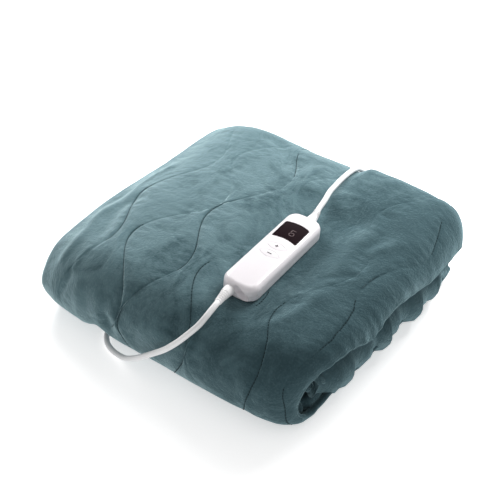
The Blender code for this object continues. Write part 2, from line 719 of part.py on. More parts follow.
def make_coil():
    """The turns as one turned ring with softened edges, and the tie round it."""
    edge = LEAD_SIZE / 2
    half_wide, half_tall = COIL_WIDE / 2, COIL_TALL / 2
    section = []
    for x, z in rounded_outline(half_wide, half_tall, edge, corner_steps=3):
        section.append((COIL_MEAN + x, COIL_Z + half_tall + z))
    mesh = bmesh.new()
    verts = [mesh.verts.new((x, 0, z)) for x, z in section]
    edges = [mesh.edges.new(pair) for pair in zip(verts, [*verts[1:], verts[0]])]
    full_turn = {"cent": (0, 0, 0), "axis": (0, 0, 1), "angle": 2 * math.pi, "steps": 28}
    bmesh.ops.spin(mesh, geom=[*verts, *edges], **full_turn)
    bmesh.ops.remove_doubles(mesh, verts=mesh.verts[:], dist=1e-6)
    bmesh.ops.recalc_face_normals(mesh, faces=mesh.faces[:])
    data = bpy.data.meshes.new("mains_coil")
    mesh.to_mesh(data)
    mesh.free()
    data.shade_smooth()
    coil = bpy.data.objects.new("mains_coil", data)
    bpy.context.collection.objects.link(coil)
    coil.location = (*COIL_AT, 0)
    finish(coil, "coil sheath", (0.82, 0.82, 0.82), 0.4)


def make_tie():
    """A band round the coil's section."""
    mesh = bmesh.new()
    loops = []
    for side in (-TIE_WIDTH / 2, TIE_WIDTH / 2):
        for grow in (CLEAR, CLEAR + TIE_THICK):
            outline = rounded_outline(
                COIL_WIDE / 2 + grow + TIE_ROOM, COIL_TALL / 2 + grow, LEAD_SIZE / 2 + grow, corner_steps=3
            )
            loops.append([mesh.verts.new((x, side, z)) for x, z in outline])
    near_in, near_out, far_in, far_out = loops
    count = len(near_in)
    for first, second in ((near_in, near_out), (near_out, far_out), (far_out, far_in), (far_in, near_in)):
        for at in range(count):
            after = (at + 1) % count
            mesh.faces.new((first[at], first[after], second[after], second[at]))
    bmesh.ops.recalc_face_normals(mesh, faces=mesh.faces[:])
    data = bpy.data.meshes.new("coil_tie")
    mesh.to_mesh(data)
    mesh.free()
    tie = bpy.data.objects.new("coil_tie", data)
    bpy.context.collection.objects.link(tie)
    out = Vector((math.cos(TIE_ANGLE), math.sin(TIE_ANGLE), 0))
    tie.location = Vector((*COIL_AT, COIL_Z + COIL_TALL / 2)) + out * COIL_MEAN
    tie.rotation_euler = (0, 0, TIE_ANGLE)
    finish(tie, "tie", (0.05, 0.05, 0.055), 0.6)


def make_plug():
    """The lead's tail from the coil's -X side, and the two-pin plug at its end, pointing along -X."""
    side = COIL_AT[0] - COIL_MEAN - COIL_WIDE / 2 - CLEAR - LEAD_SIZE / 2
    level = LEAD_SIZE / 2 + 0.0004
    rise = PLUG_Z - level
    route = [(side, COIL_AT[1] + 0.004, level)]
    for degrees in (0, 18, 36, 54, 72, 90):
        angle = math.radians(degrees)
        x = side - TAIL_RADIUS * (1 - math.cos(angle))
        y = COIL_AT[1] - TAIL_RADIUS * math.sin(angle)
        route.append((x, y, level + rise * float(smooth(degrees / 90))))
    end_x, end_y = route[-1][0] - 0.006, route[-1][1]
    route.append((end_x, end_y, PLUG_Z))
    make_tube("mains_tail", route)
    wide, tall = PLUG_WIDE / 2, PLUG_TALL / 2
    rows = [
        (0, LEAD_SIZE / 2 + 0.0008, LEAD_SIZE / 2 + 0.0008),
        (PLUG_RELIEF * 0.5, 0.0052, 0.0050),
        (PLUG_RELIEF, 0.0068, 0.0062),
        (PLUG_RELIEF + 0.004, 0.0120, 0.0095),
        (PLUG_RELIEF + 0.012, wide * 0.93, tall * 0.93),
        (PLUG_RELIEF + 0.020, wide, tall),
        (PLUG_RELIEF + PLUG_BODY - 0.002, wide, tall),
        (PLUG_RELIEF + PLUG_BODY, wide - 0.0015, tall - 0.0015),
    ]
    plug = turned("mains_plug", rows, steps=20)
    plug.location = (end_x - CLEAR, end_y, PLUG_Z)
    plug.rotation_euler = (0, 0, math.pi)
    finish(plug, "plug plastic", (0.83, 0.83, 0.83), 0.35)
    for name, sign in (("plug_pin_left", 1), ("plug_pin_right", -1)):
        pin_rows = [(0, PIN_RADIUS, PIN_RADIUS), (PIN_LENGTH - 0.001, PIN_RADIUS, PIN_RADIUS)]
        pin_rows.append((PIN_LENGTH, PIN_RADIUS - 0.0008, PIN_RADIUS - 0.0008))
        pin = turned(name, pin_rows, steps=12)
        start = end_x - 2 * CLEAR - PLUG_RELIEF - PLUG_BODY
        pin.location = (start, end_y + sign * PIN_APART / 2, PLUG_Z)
        pin.rotation_euler = (0, 0, math.pi)
        finish(pin, name + " metal", (0.75, 0.72, 0.65), 0.25, 1.0)


def centre_on(made):
    """Moves everything so that this object's box has its middle over the origin."""
    corners = np.array(made.bound_box)
    middle = (corners.min(axis=0) + corners.max(axis=0)) / 2
    for other in bpy.data.objects:
        other.location.x -= middle[0]
        other.location.y -= middle[1]


def main():
    for old in list(bpy.data.objects):
        bpy.data.objects.remove(old)
    blanket = make_blanket()
    finish(blanket, "flannel", (0.13, 0.21, 0.23), 0.95)
    make_control()
    make_gland()
    make_tube("lead_to_blanket", BLANKET_LEAD_ROUTE)
    make_tube("mains_lead", MAINS_LEAD_ROUTE)
    make_coil()
    make_tie()
    make_plug()
    centre_on(blanket)


main()
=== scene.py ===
"""Dresses the folded heated throw: quilted flannel with its stitching, the hand control, both leads with
their coil, tie and plug, and a plain studio round them. Metres, +Z up, front edge of the fold towards -Y."""

import math

import bmesh
import bpy
import numpy as np
from bpy.props import FloatProperty, FloatVectorProperty, PointerProperty
from mathutils import Matrix, Vector, noise


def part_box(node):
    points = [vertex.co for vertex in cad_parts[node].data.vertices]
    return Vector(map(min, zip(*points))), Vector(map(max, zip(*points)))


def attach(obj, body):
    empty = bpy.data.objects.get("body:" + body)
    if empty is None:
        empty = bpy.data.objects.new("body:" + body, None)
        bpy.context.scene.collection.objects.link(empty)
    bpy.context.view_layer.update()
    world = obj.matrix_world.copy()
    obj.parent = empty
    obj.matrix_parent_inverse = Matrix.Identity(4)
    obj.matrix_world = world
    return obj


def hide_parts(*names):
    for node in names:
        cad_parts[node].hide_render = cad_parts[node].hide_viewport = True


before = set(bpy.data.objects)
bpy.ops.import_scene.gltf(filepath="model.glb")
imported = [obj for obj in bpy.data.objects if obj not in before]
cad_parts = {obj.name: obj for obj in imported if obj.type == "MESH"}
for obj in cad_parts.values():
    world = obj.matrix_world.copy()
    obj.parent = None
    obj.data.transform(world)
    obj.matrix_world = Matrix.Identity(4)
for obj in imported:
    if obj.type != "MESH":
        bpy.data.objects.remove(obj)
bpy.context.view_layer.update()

bl_info = {
    "name": "Folded Heated Throw",
    "version": (1, 0, 0),
    "blender": (4, 5, 0),
    "location": "3D View > Sidebar > Throw",
    "description": "Builds a folded quilted heated throw with its hand control and leads",
    "category": "Add Mesh",
}

# ---- The folded throw ----------------------------------------------------------------------------
FOLDED_X = 0.404  # across the three-ply folds
FOLDED_Y = 0.396  # across the four-bundle folds
FOLDED_Z = 0.112
PLY = 0.0072
PLY_GAP = 0.0020
BUNDLE = 3 * PLY + 2 * PLY_GAP
PITCH = (FOLDED_Z - BUNDLE) / 3
TURN = (PLY + PLY_GAP) / 2
TURN_EASE = 0.002  # the quilting ends this far short of the -X turn
TURN_FADE = 0.014  # and its rise fades out over this much before it
BACK_BEND = 0.034
BACK_ANGLE = math.radians(58)
WRAP_Y = BUNDLE / 2 + 1.5 * PITCH - FOLDED_Y / 2
RISE_Y = FOLDED_Y / 2 - (PITCH + BUNDLE) / 2
BACK_Y = FOLDED_Y / 2 - BUNDLE / 2 - BACK_BEND
HIGH_END_Y = BACK_Y + 0.008

# Quilting: wavy stitch lines along Y, each in antiphase with its neighbours.
LINE_PERIOD = 0.200
LINE_ROWS = (
    # middle at x, swing, the y where it swings out towards +X
    (-0.19, -0.016, -0.11), (-0.137, 0.019, -0.13), (-0.077, -0.026, -0.105),
    (-0.032, 0.021, -0.125), (0.03, -0.024, -0.112), (0.072, 0.018, -0.118),
    (0.134, -0.024, -0.112), (0.188, 0.012, -0.135),
)
SHOWN_ROWS = (
    # line, from y, to y, how plainly its stitching shows: the pile covers the rest
    (1, -0.2, 0.05, 1.0), (2, -0.24, -0.05, 0.9), (3, -0.26, 0.03, 1.0), (3, 0.095, 0.15, 0.6),
    (4, -0.33, -0.09, 0.9), (5, -0.19, -0.07, 0.6), (6, -0.36, -0.09, 0.9), (7, -0.4, -0.06, 1.0),
    (7, 0.08, 0.13, 0.8),
)
NUDGE_ROWS = (
    # line, y and spread of a stretch that strays, and how far to +X
    (7, -0.245, 0.05, 0.034),
)
LEAST_SHOWN = 0.08
SHOWN_SPREAD = 0.020
NAP_CLOSES = 0.80
NAP_STEEP, NAP_BIAS = 1.6, 0.2
SEAM_BELOW = -0.205  # the y below which no nap closes over a line
LINE_COUNT = len(LINE_ROWS)
LINE_FIRST = LINE_ROWS[0][0]
LINE_PITCH = (LINE_ROWS[-1][0] - LINE_FIRST) / (LINE_COUNT - 1)
PUFF = 0.0017
PUFF_ROUND = 0.8
PUFF_LEAST = 0.35  # the share of it that is left where the line doesn't show
CHANNEL_STEPS = 24
CHANNEL_CROWD = 0.095  # how much closer the columns stand beside a stitch line
FURROW_DEPTH = 0.0011  # the narrow furrow that the thread draws
FURROW_HALF = 0.0018
FURROW_LEAST = 0.1
TUCK_DEPTH = 0.0004  # small tucks across a stitch line, where the thread gathers the cloth
TUCK_REACH = 0.011
TUCK_EVERY = 0.0135
TUCK_SHIFT, TUCK_DRIFT, DRIFT_WAVE = 1.7, 1.5, 90  # how the tucks shift from line to line and along one

HEM_ROWS = (
    # part of the path, along it, bend starts at x, bend radius, bend in degrees, straight drop. A bend
    # below zero turns the hem away from the bundle, so that it hangs down over the ones below.
    ("back", 0.0, 0.164, 0.03, 60, 0.002), ("top", 0.05, 0.171, 0.03, 80, 0.004),
    ("top", 0.3, 0.173, 0.028, 80, 0.005), ("top", 0.44, 0.178, 0.022, 74, 0.004),
    ("top", 0.54, 0.18, 0.022, 62, 0.002), ("top", 0.66, 0.179, 0.022, 66, 0.003),
    ("top", 0.76, 0.177, 0.023, 78, 0.008), ("top", 0.9, 0.178, 0.02, 66, 0.003),
    ("top", 1.0, 0.174, 0.022, 66, 0.002), ("wrap", 0.1, 0.17, 0.02, 78, 0.004),
    ("wrap", 0.3, 0.169, 0.018, 82, 0.004), ("wrap", 0.6, 0.168, 0.016, 78, 0.002),
    ("wrap", 0.85, 0.168, 0.016, 64, 0.001), ("bottom", 0.1, 0.16, 0.022, 50, 0.002),
    ("bottom", 1.0, 0.161, 0.024, 54, 0.004), ("rise", 0.5, 0.158, 0.014, 30, 0.0),
    ("low", 0.1, 0.166, 0.01, 70, 0.004), ("low", 0.9, 0.166, 0.01, 70, 0.004),
    ("inner", 0.5, 0.16, 0.014, 30, 0.0), ("high", 0.05, 0.158, 0.024, -110, 0.004),
    ("high", 0.15, 0.163, 0.03, -118, 0.012), ("high", 0.5, 0.163, 0.03, -120, 0.012),
    ("high", 0.8, 0.168, 0.03, -120, 0.01), ("high", 1.0, 0.16, 0.026, -116, 0.006),
)
FOLD_ROWS = (
    # part of the path, along it, -X turn at x, +X turn at x, share of the pucker depth
    ("back", 0.0, -0.184, 0.164, 0.2), ("top", 0.1, -0.188, 0.169, 0.2),
    ("top", 0.8, -0.19, 0.175, 0.3), ("wrap", 0.3, -0.187, 0.177, 0.3),
    ("wrap", 0.7, -0.192, 0.175, 0.3), ("bottom", 0.1, -0.195, 0.168, 0.3),
    ("bottom", 1.0, -0.192, 0.164, 0.3), ("rise", 0.5, -0.192, 0.16, 0.6),
    ("low", 0.1, -0.192, 0.164, 0.8), ("low", 0.4, -0.194, 0.162, 1.0),
    ("low", 0.9, -0.206, 0.163, 1.0), ("inner", 0.5, -0.208, 0.16, 0.6),
    ("high", 0.1, -0.207, 0.168, 1.0), ("high", 1.0, -0.19, 0.168, 1.0),
)
INNER_HEM_X = -0.178
HEM_NOMINAL = 0.225
HEM_SHARES = np.linspace(1.0, 0.08, 12)  # columns between the hem and the last stitch line
HEM_SWELL = 0.0012
HEM_ROUND = 70  # degrees to either side
EVEN_QUILT_TO = LINE_ROWS[6][0]
HEM_PULL = 0.3
INWARD_COLUMNS = tuple(np.linspace(-0.15, 0.13, 9)) + tuple(np.linspace(0.150, HEM_NOMINAL, 11))
# Columns of the section outside and inside a turn, along a middle ply, and along the innermost one.
OUTSIDE_COLUMNS, INSIDE_COLUMNS, FLAT_COLUMNS, HIDDEN_COLUMNS = 13, 7, 11, 9

# The hanging edges are drawn in, but for upright ridges like those of a curtain.
DRAWN_IN = 0.013
RIDGE_ROWS = (
    # at y, how far it stands out of the drawn-in edge, half width
    (-0.168, 0.8, 0.005), (-0.147, 0.9, 0.006), (-0.124, 1.0, 0.005), (-0.106, 0.8, 0.004),
    (-0.088, 1.0, 0.006), (-0.068, 0.8, 0.004), (-0.054, 1.0, 0.005), (-0.036, 0.5, 0.006),
    (0.0, 1.0, 0.008), (0.024, 0.8, 0.006), (0.066, 0.9, 0.009), (0.084, 0.6, 0.008),
    (0.118, 1.0, 0.012), (0.152, 0.9, 0.014),
)
SAG_ROWS = (
    # x, y, spread in x, spread in y, rise as a share of the height
    (0.02, 0.02, 0.16, 0.16, 0.05), (-0.214, -0.02, 0.052, 0.6, -0.21),
    (-0.15, 0.18, 0.07, 0.07, 0.06), (-0.205, -0.19, 0.08, 0.07, -0.11),
    (0.2, -0.2, 0.08, 0.07, -0.06), (0.15, 0.13, 0.07, 0.07, 0.025),
    (-0.02, 0.185, 0.07, 0.05, -0.05), (0.04, 0.2, 0.016, 0.06, -0.08),
    (0.21, 0.0, 0.04, 0.6, -0.08), (0.08, 0.185, 0.032, 0.045, 0.055),
    (0.053, 0.178, 0.014, 0.035, 0.068), (0.122, -0.05, 0.05, 0.09, -0.032),
)
WRAP_FULLNESS = 2.7
WRAP_GATHER = 0.006  # the inner plies are gathered where the bundle turns
WRAP_GATHERS = 7
CORNER_DRAW = ((0.046, 0.070), (0.100, 0.050))  # at -X and at +X, each at the front and at the back
FOOT_DRAW = 0.060
FOOT_RISE = 0.050
CORNER_POWER = 6

# Creases of the outer ply, in its own plane: x, and y carried on round the front wrap.
CREASE_ROWS = (
    # from x, y, to x, y, half width, height (a trough is below zero)
    (-0.168, -0.06, -0.16, -0.2, 0.007, 0.004), (-0.15, -0.03, -0.142, -0.15, 0.009, -0.003),
    (-0.06, -0.2, -0.03, -0.28, 0.008, 0.0035), (-0.075, -0.215, -0.07, -0.28, 0.006, -0.003),
    (0.02, 0.19, 0.035, 0.03, 0.012, -0.004), (0.11, 0.12, 0.16, -0.02, 0.012, -0.003),
    (0.1, -0.17, 0.155, -0.06, 0.01, 0.003), (-0.12, 0.17, -0.02, 0.11, 0.01, -0.0025),
    # The finer creases between them.
    (-0.118, -0.19, -0.132, -0.262, 0.0045, 0.0022),
    (-0.106, -0.196, -0.098, -0.268, 0.004, -0.0022),
    (-0.092, -0.196, -0.08, -0.262, 0.0045, 0.002), (-0.136, -0.18, -0.158, -0.238, 0.005, -0.0022),
    (-0.122, -0.15, -0.14, -0.196, 0.005, 0.0016), (0.082, -0.105, 0.128, -0.07, 0.0045, 0.0018),
    (0.094, -0.118, 0.14, -0.094, 0.004, -0.0016), (0.116, -0.06, 0.158, -0.02, 0.006, -0.0016),
    (0.13, 0.02, 0.176, 0.06, 0.008, 0.0018), (0.03, -0.15, 0.02, -0.27, 0.006, -0.002),
    (0.046, -0.16, 0.056, -0.28, 0.007, 0.0022), (0.12, -0.19, 0.132, -0.29, 0.006, -0.0026),
    (0.142, -0.2, 0.154, -0.3, 0.0055, 0.0026), (0.158, -0.19, 0.172, -0.29, 0.005, -0.0024),
    (0.0, 0.15, 0.01, 0.06, 0.007, 0.0014), (-0.176, 0.06, -0.166, -0.06, 0.006, 0.0026),
    (-0.186, 0.03, -0.178, -0.08, 0.005, -0.0022),
)
CREASE_BOW, CREASE_WAVE, CREASE_SHIFT = 0.8, 55, 300  # how a crease winds, and where by its x
CREASE_EASE = 1.4
# The cloth is never quite even: ripples of these lengths, from broad to small.
RIPPLE_ROWS = (
    # wave length, height
    (0.075, 0.0011), (0.03, 0.0006), (0.012, 0.00022),
)
RESTING_Z = 0.012  # below this height the cloth rests on the floor and ripples less

# Stations along the fold path and their number in each part of it.
PATH_STEPS = (
    ("back", 14), ("top", 112), ("wrap", 60), ("bottom", 22), ("rise", 10), ("low", 72),
    ("inner", 8), ("high", 26),
)
PATH_ORDER = [name for name, _ in PATH_STEPS]
EDGE_ROUNDING = (0.97, 0.85, 0.6, 0.3)  # how far the rounded end of the cloth has run at each station

# The quilting's relief ends this far before the path's bottom part, the stitch lines this far into it.
QUILT_ENDS_BEFORE, QUILT_ENDS_OVER = 0.2, 0.35
LINES_SHOWN_TO, LINES_END_OVER = 0.9, 0.1

# ---- Stitching -----------------------------------------------------------------------------------
STITCH_BOW = 0.0003  # how far its ends dip into the cloth
STITCH_PROUD = 0.0002
STITCH_LEAST = 0.3  # where a line shows less plainly than this, the pile covers its thread
STITCH_LOWEST = 0.006
STITCH_SEED = 11
STITCH_STRAY = 0.05  # of the distance to the next one
STITCH_STRETCH = (0.9, 1.08)
STITCH_TIP = 0.45  # how thick it still is at its ends

# ---- The hand control, in its own frame: x across, y to its upper end, z up from its underside ---
CONTROL_AT = (0.0635, -0.0550)
CONTROL_TURN = math.radians(3.4)
CONTROL_ROLL = math.radians(5.0)  # the cloth falls away under its right side
CONTROL_NUDGE = (-0.0035, 0.0015)
CONTROL_LENGTH = 0.154
CONTROL_WIDTH = 0.045
CONTROL_CORNER = 0.012
BASE_HEIGHT = 0.0075
COVER_HEIGHT = 0.0200
CLEAR = 0.0003
SEAT_Z = 0.1075
SEAT_MARGIN = 0.009
SEAT_SLOPE = 0.046
HOUSING_BOW = 0.003
DISPLAY_HALF = 0.0160
DISPLAY_BOTTOM = 0.0185
DISPLAY_TOP = 0.0510
DISPLAY_BOW = 0.0035
DISPLAY_CORNER = 0.0024
DISPLAY_EDGE = 0.0003
FIGURE = (0.0020, (DISPLAY_BOTTOM + DISPLAY_TOP) / 2 + 0.001, 0.0050, 0.0011)  # x, y, size, stroke
POST_OUT, POST_TALL = 0.55, 0.8  # shares of its size: how far out its posts stand, how tall they are
FIGURE_THICK = 0.00008
SIGN_THICK = 0.00012
MARK_ROUND = 0.35  # rounding of a mark's corners, as a share of its stroke
SIGNS = ((0, 0.0046, 0.0010), (0, 0.0010, 0.0046), (1, 0.0056, 0.0012))  # key, width, height of a bar
PLATE = 0.0010
KEYS = (
    # piece, node it stands for, y of its middle, half length across, half width
    ("key_warmer", "control_key_plus", 0.005, 0.0125, 0.0048),
    ("key_cooler", "control_key_minus", -0.0105, 0.0125, 0.0048),
)
KEY_MIDDLE, KEY_SQUEEZE = 1.15, 0.35  # a key's height at its middle, and what it loses towards its ends
KEY_RINGS = (0.06, 0.15, 0.30)  # insets of its top, as shares of its half width
# The hollow beside the lower lead: its middle, its radii and how far it is turned.
SCOOP = ((0.0068, -0.0780, 0.0095), (0.0125, 0.0085, 0.0050), math.radians(38))
RELIEF_LENGTH = 0.024
RELIEF_ROOT = 0.0066
RELIEF_TIP = 0.0043
RELIEF_Z = 0.0092
RELIEF_SQUASH = 0.92
RELIEF_STEPS = 9
# Grooves: half their width, half their floor's, and where they are: first z, last z, number, depth.
RIB_FOOT, RIB_FLOOR = 0.0009, 0.0004
RELIEF_RIBS = (0.40 * RELIEF_LENGTH, 0.88 * RELIEF_LENGTH, 5, 0.0005)
RELIEFS = (
    # piece, node it stands for, x of its middle, end of the control, sideways lean over its length
    ("relief_to_throw", "control_relief_lower", -0.007, -1, 0.0015),
    ("relief_to_mains", "control_relief_upper", 0.0005, 1, -0.003),
)

# ---- The leads -----------------------------------------------------------------------------------
LEAD_SIZE = 0.0068
BLANKET_LEAD_ROUTE = (
    (0.0624, -0.176, 0.1126), (0.0597, -0.186, 0.1055), (0.0528, -0.1945, 0.096),
    (0.0448, -0.2005, 0.086), (0.0349, -0.204, 0.075), (0.0253, -0.206, 0.0655),
    (0.013, -0.207, 0.055), (-0.001, -0.207, 0.043), (-0.015, -0.2055, 0.031),
    (-0.03, -0.203, 0.019), (-0.044, -0.1995, 0.0095), (-0.058, -0.1965, 0.005),
    (-0.07, -0.194, 0.0044), (-0.081, -0.189, 0.0044), (-0.089, -0.182, 0.0046),
    (-0.095, -0.174, 0.005),
)
GLAND_TO = (-0.1050, -0.1605, 0.0056)
TUNNEL_AT = (-0.1000, -0.1640)
TUNNEL_SPREAD = (0.019, 0.034)
TUNNEL_RISE = 0.0185
TUNNEL_FLOOR = 0.0010
MAINS_LEAD_ROUTE = (
    (0.048, 0.0696, 0.1197), (0.0427, 0.0889, 0.1199), (0.0394, 0.1054, 0.1182),
    (0.0369, 0.1219, 0.1171), (0.0357, 0.1376, 0.1166), (0.0348, 0.15, 0.1151),
    (0.0338, 0.162, 0.1124), (0.0328, 0.1735, 0.1069), (0.0326, 0.184, 0.099),
    (0.0352, 0.1935, 0.087), (0.036, 0.2005, 0.072), (0.037, 0.2045, 0.0545),
    (0.0377, 0.2065, 0.038), (0.0378, 0.21, 0.0235), (0.037, 0.2165, 0.0125),
    (0.0352, 0.2255, 0.0062), (0.0315, 0.235, 0.004),
)
COIL_AT = (-0.0241, 0.2490)
COIL_PITCH = LEAD_SIZE + 0.00005
COIL_TURNS = 2.49
COIL_INNER = 0.0290
COIL_WIDE = COIL_TURNS * COIL_PITCH + LEAD_SIZE
COIL_TALL = 2 * COIL_PITCH
COIL_MEAN = COIL_INNER + (COIL_WIDE - LEAD_SIZE) / 2
COIL_Z = 0.0012
COIL_SIDESTEP = 1.03 * COIL_PITCH  # how far outside the turns the lead runs in and out
COIL_CLIMB = 92  # degrees over which it climbs to the upper layer
COIL_LEAVE = 98  # and over which it leaves the turns: out by this share of it, down from that share
COIL_OUT_BY, COIL_DOWN_FROM = 0.55, 0.40
COIL_START, COIL_STEP, COIL_ENTER = 8, 9, 60  # degrees
TAIL_ANGLES = range(12, 91, 13)
TIE_ANGLE = math.radians(75)
TIE_ROOM = 0.0008
TIE_EDGE = 0.0002
TAIL_RADIUS = 0.0280
PLUG_Z = 0.0125
PLUG_BODY = 0.036
PLUG_RELIEF = 0.022
PLUG_RELIEF_RIBS = (0.0044, 0.0187, 6, 0.0006)
PLUG_GRIP_RIBS = (0.035, 0.043, 4, 0.0007)
PLUG_RELIEF_ROWS = ((0, 0.0042, 0.0042, 0), (0.011, 0.0052, 0.0050, 0), (0.022, 0.0068, 0.0062, 0))
PLUG_ROWS = (
    # how far beyond its relief, half width, half height
    (0.002, 0.009, 0.0074), (0.004, 0.012, 0.0095), (0.008, 0.01494, 0.010209),
    (0.012, 0.01674, 0.011439), (0.02, 0.018, 0.0123), (0.026, 0.018, 0.0123),
    (0.0265, 0.0174, 0.0117), (0.0273, 0.0174, 0.0117), (0.0278, 0.018, 0.0123),
    (0.033, 0.018, 0.0123), (0.035, 0.0175, 0.0118), (0.036, 0.0162, 0.0105),
)
PIN_LENGTH = 0.019
PIN_RADIUS = 0.0024
PIN_ROWS = ((PIN_LENGTH, 0), (0.0016, 0), (0.0006, 0.0003), (0, 0.0010))  # short of its tip, thinner by
PIN_APART = 0.0187
GLAND_RADIUS = 0.0052
GLAND_WALL = 0.0006
GLAND_LENGTH = (Vector(GLAND_TO) - Vector(BLANKET_LEAD_ROUTE[-1])).length
GLAND_OFF = 1.6 * CLEAR
GLAND_FLARE = 0.3  # of its length: how soon it has its full width
GLAND_RIBS = (0.4 * GLAND_LENGTH, 0.8 * GLAND_LENGTH, 3, 0.0005)
TAIL_SIDE = COIL_AT[0] - COIL_INNER - COIL_TURNS * COIL_PITCH - COIL_SIDESTEP
PLUG_AT = Vector((TAIL_SIDE - TAIL_RADIUS - 0.006, COIL_AT[1] - TAIL_RADIUS, PLUG_Z))
LEAD_POINT_GAP = 0.0035
LEAD_STARTS = (CLEAR, 0.007)  # beyond a relief's tip
CURVE_PARTS = 16

# ---- The studio ----------------------------------------------------------------------------------
FLOOR_SIZE = 8.0
CAMERA_TURN, CAMERA_RISE, CAMERA_AWAY = 37.0, 37.2, 1.26  # degrees from the front, degrees up, metres
CAMERA_AIM = Vector((-0.020, 0.0096, 0.05))
CAMERA_LENS = 72.576
LIGHT_ROWS = (
    # name, degrees from the front, degrees up, metres away, size, the studio's setting for its power
    ("left_light", -112.0, 40.0, 0.80, 0.36, "left_power"),
    ("back_light", 160.0, 42.0, 0.80, 0.36, "back_power"),
    ("top_light", 20.0, 76.0, 2.2, 1.6, "top_power"),
    ("fill_light", 60.0, 35.0, 2.6, 2.4, "fill_power"),
)

TINY = 1e-5  # two heights nearer than this are the same
WALL_NEAR, WALL_OUT = 1e-4, 0.98  # an edge on a wall: how near it, or how far out in its round corner
FACING = 0.9  # a face whose normal has this much of a direction faces it

# Where the part stands: its own box is over the origin, and the places above are the fold's own.
_base_low, _base_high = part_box("control_base")
SHIFT = Vector((
    (_base_low.x + _base_high.x) / 2 - CONTROL_AT[0],
    (_base_low.y + _base_high.y) / 2 - CONTROL_AT[1],
    0.0,
))
CONTROL_SPOT = Vector((CONTROL_AT[0] + CONTROL_NUDGE[0], CONTROL_AT[1] + CONTROL_NUDGE[1], SEAT_Z + CLEAR))
ON_CONTROL = (
    Matrix.Translation(SHIFT + CONTROL_SPOT)
    @ Matrix.Rotation(CONTROL_TURN, 4, "Z")
    @ Matrix.Rotation(CONTROL_ROLL, 4, "Y")
)


# ---- Small helpers -------------------------------------------------------------------------------
def smooth(share):
    """0 below 0 and 1 above 1, with a soft step between."""
    share = np.clip(share, 0.0, 1.0)
    return share * share * (3.0 - 2.0 * share)


def bell(offset, spread):
    """1 where the offset is 0, falling off on both sides."""
    return np.exp(-((offset / spread) ** 2))


def along_rows(rows, place):
    """Reads the columns of a table of (part of the path, along it, ...) at places along the path."""
    keys = [PATH_ORDER.index(row[0]) + row[1] for row in rows]
    columns = np.array([row[2:] for row in rows], float).T
    return [np.interp(place, keys, column) for column in columns]


def lengths_along(points):
    """How far along a line of points each of them is."""
    return np.insert(np.cumsum(np.linalg.norm(np.diff(points, axis=0), axis=1)), 0, 0)


def dimmed(rgb, share):
    return [part * share for part in rgb]


def linked(name, data):
    made = bpy.data.objects.new(name, data)
    bpy.context.collection.objects.link(made)
    return made


def hand_over(piece, material, slot, *nodes):
    """Gives a finished piece its material and makes it part of the object, in the place of these nodes."""
    piece.data.materials.append(material)
    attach(piece, "root")
    if nodes:
        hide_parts(*nodes)


# ---- Materials -----------------------------------------------------------------------------------
class Recipe:
    """A material under construction. A socket takes a value, a colour or another node's output."""

    def __init__(self, name):
        self.material = bpy.data.materials.new(name)
        self.material.use_nodes = True
        self.tree = self.material.node_tree
        self.here = self.add("TexCoord", "Object", {})

    def feed(self, socket, value):
        if isinstance(value, bpy.types.NodeSocket):
            self.tree.links.new(value, socket)
        else:
            socket.default_value = (*value, 1.0) if socket.type == "RGBA" else value

    def add(self, kind, output, sockets, **settings):
        """Adds a node with these settings, feeds its sockets and returns one of its outputs."""
        node = self.tree.nodes.new("ShaderNode" + kind)
        for name, value in settings.items():
            setattr(node, name, value)
        for socket, value in sockets.items():
            self.feed(node.inputs[socket], value)
        return node.outputs[output]

    def set(self, **sockets):
        """Feeds the shader: a socket's name has _ for its spaces."""
        for name, value in sockets.items():
            self.feed(self.tree.nodes["Principled BSDF"].inputs[name.replace("_", " ")], value)

    def op(self, operation, *values):
        return self.add("Math", 0, dict(enumerate(values)), operation=operation)

    def ramp(self, value, low, high, to_low=0.0, to_high=1.0, step="SMOOTHSTEP"):
        numbers = dict(enumerate((value, low, high, to_low, to_high)))
        return self.add("MapRange", 0, numbers, interpolation_type=step)

    def mix(self, share, first, second):
        return self.add("Mix", 2, {0: share, 6: first, 7: second}, data_type="RGBA")

    def noise(self, place, scale, detail=3.0, roughness=0.55, distortion=0.0):
        numbers = {"Scale": scale, "Detail": detail, "Roughness": roughness, "Distortion": distortion}
        return self.add("TexNoise", "Fac", {"Vector": place, **numbers})

    def scaled(self, place, scale):
        return self.add("Mapping", "Vector", {"Vector": place, "Scale": scale})

    def bumped(self, height, strength, distance):
        numbers = {"Height": height, "Strength": strength, "Distance": distance}
        self.set(Normal=self.add("Bump", "Normal", numbers))


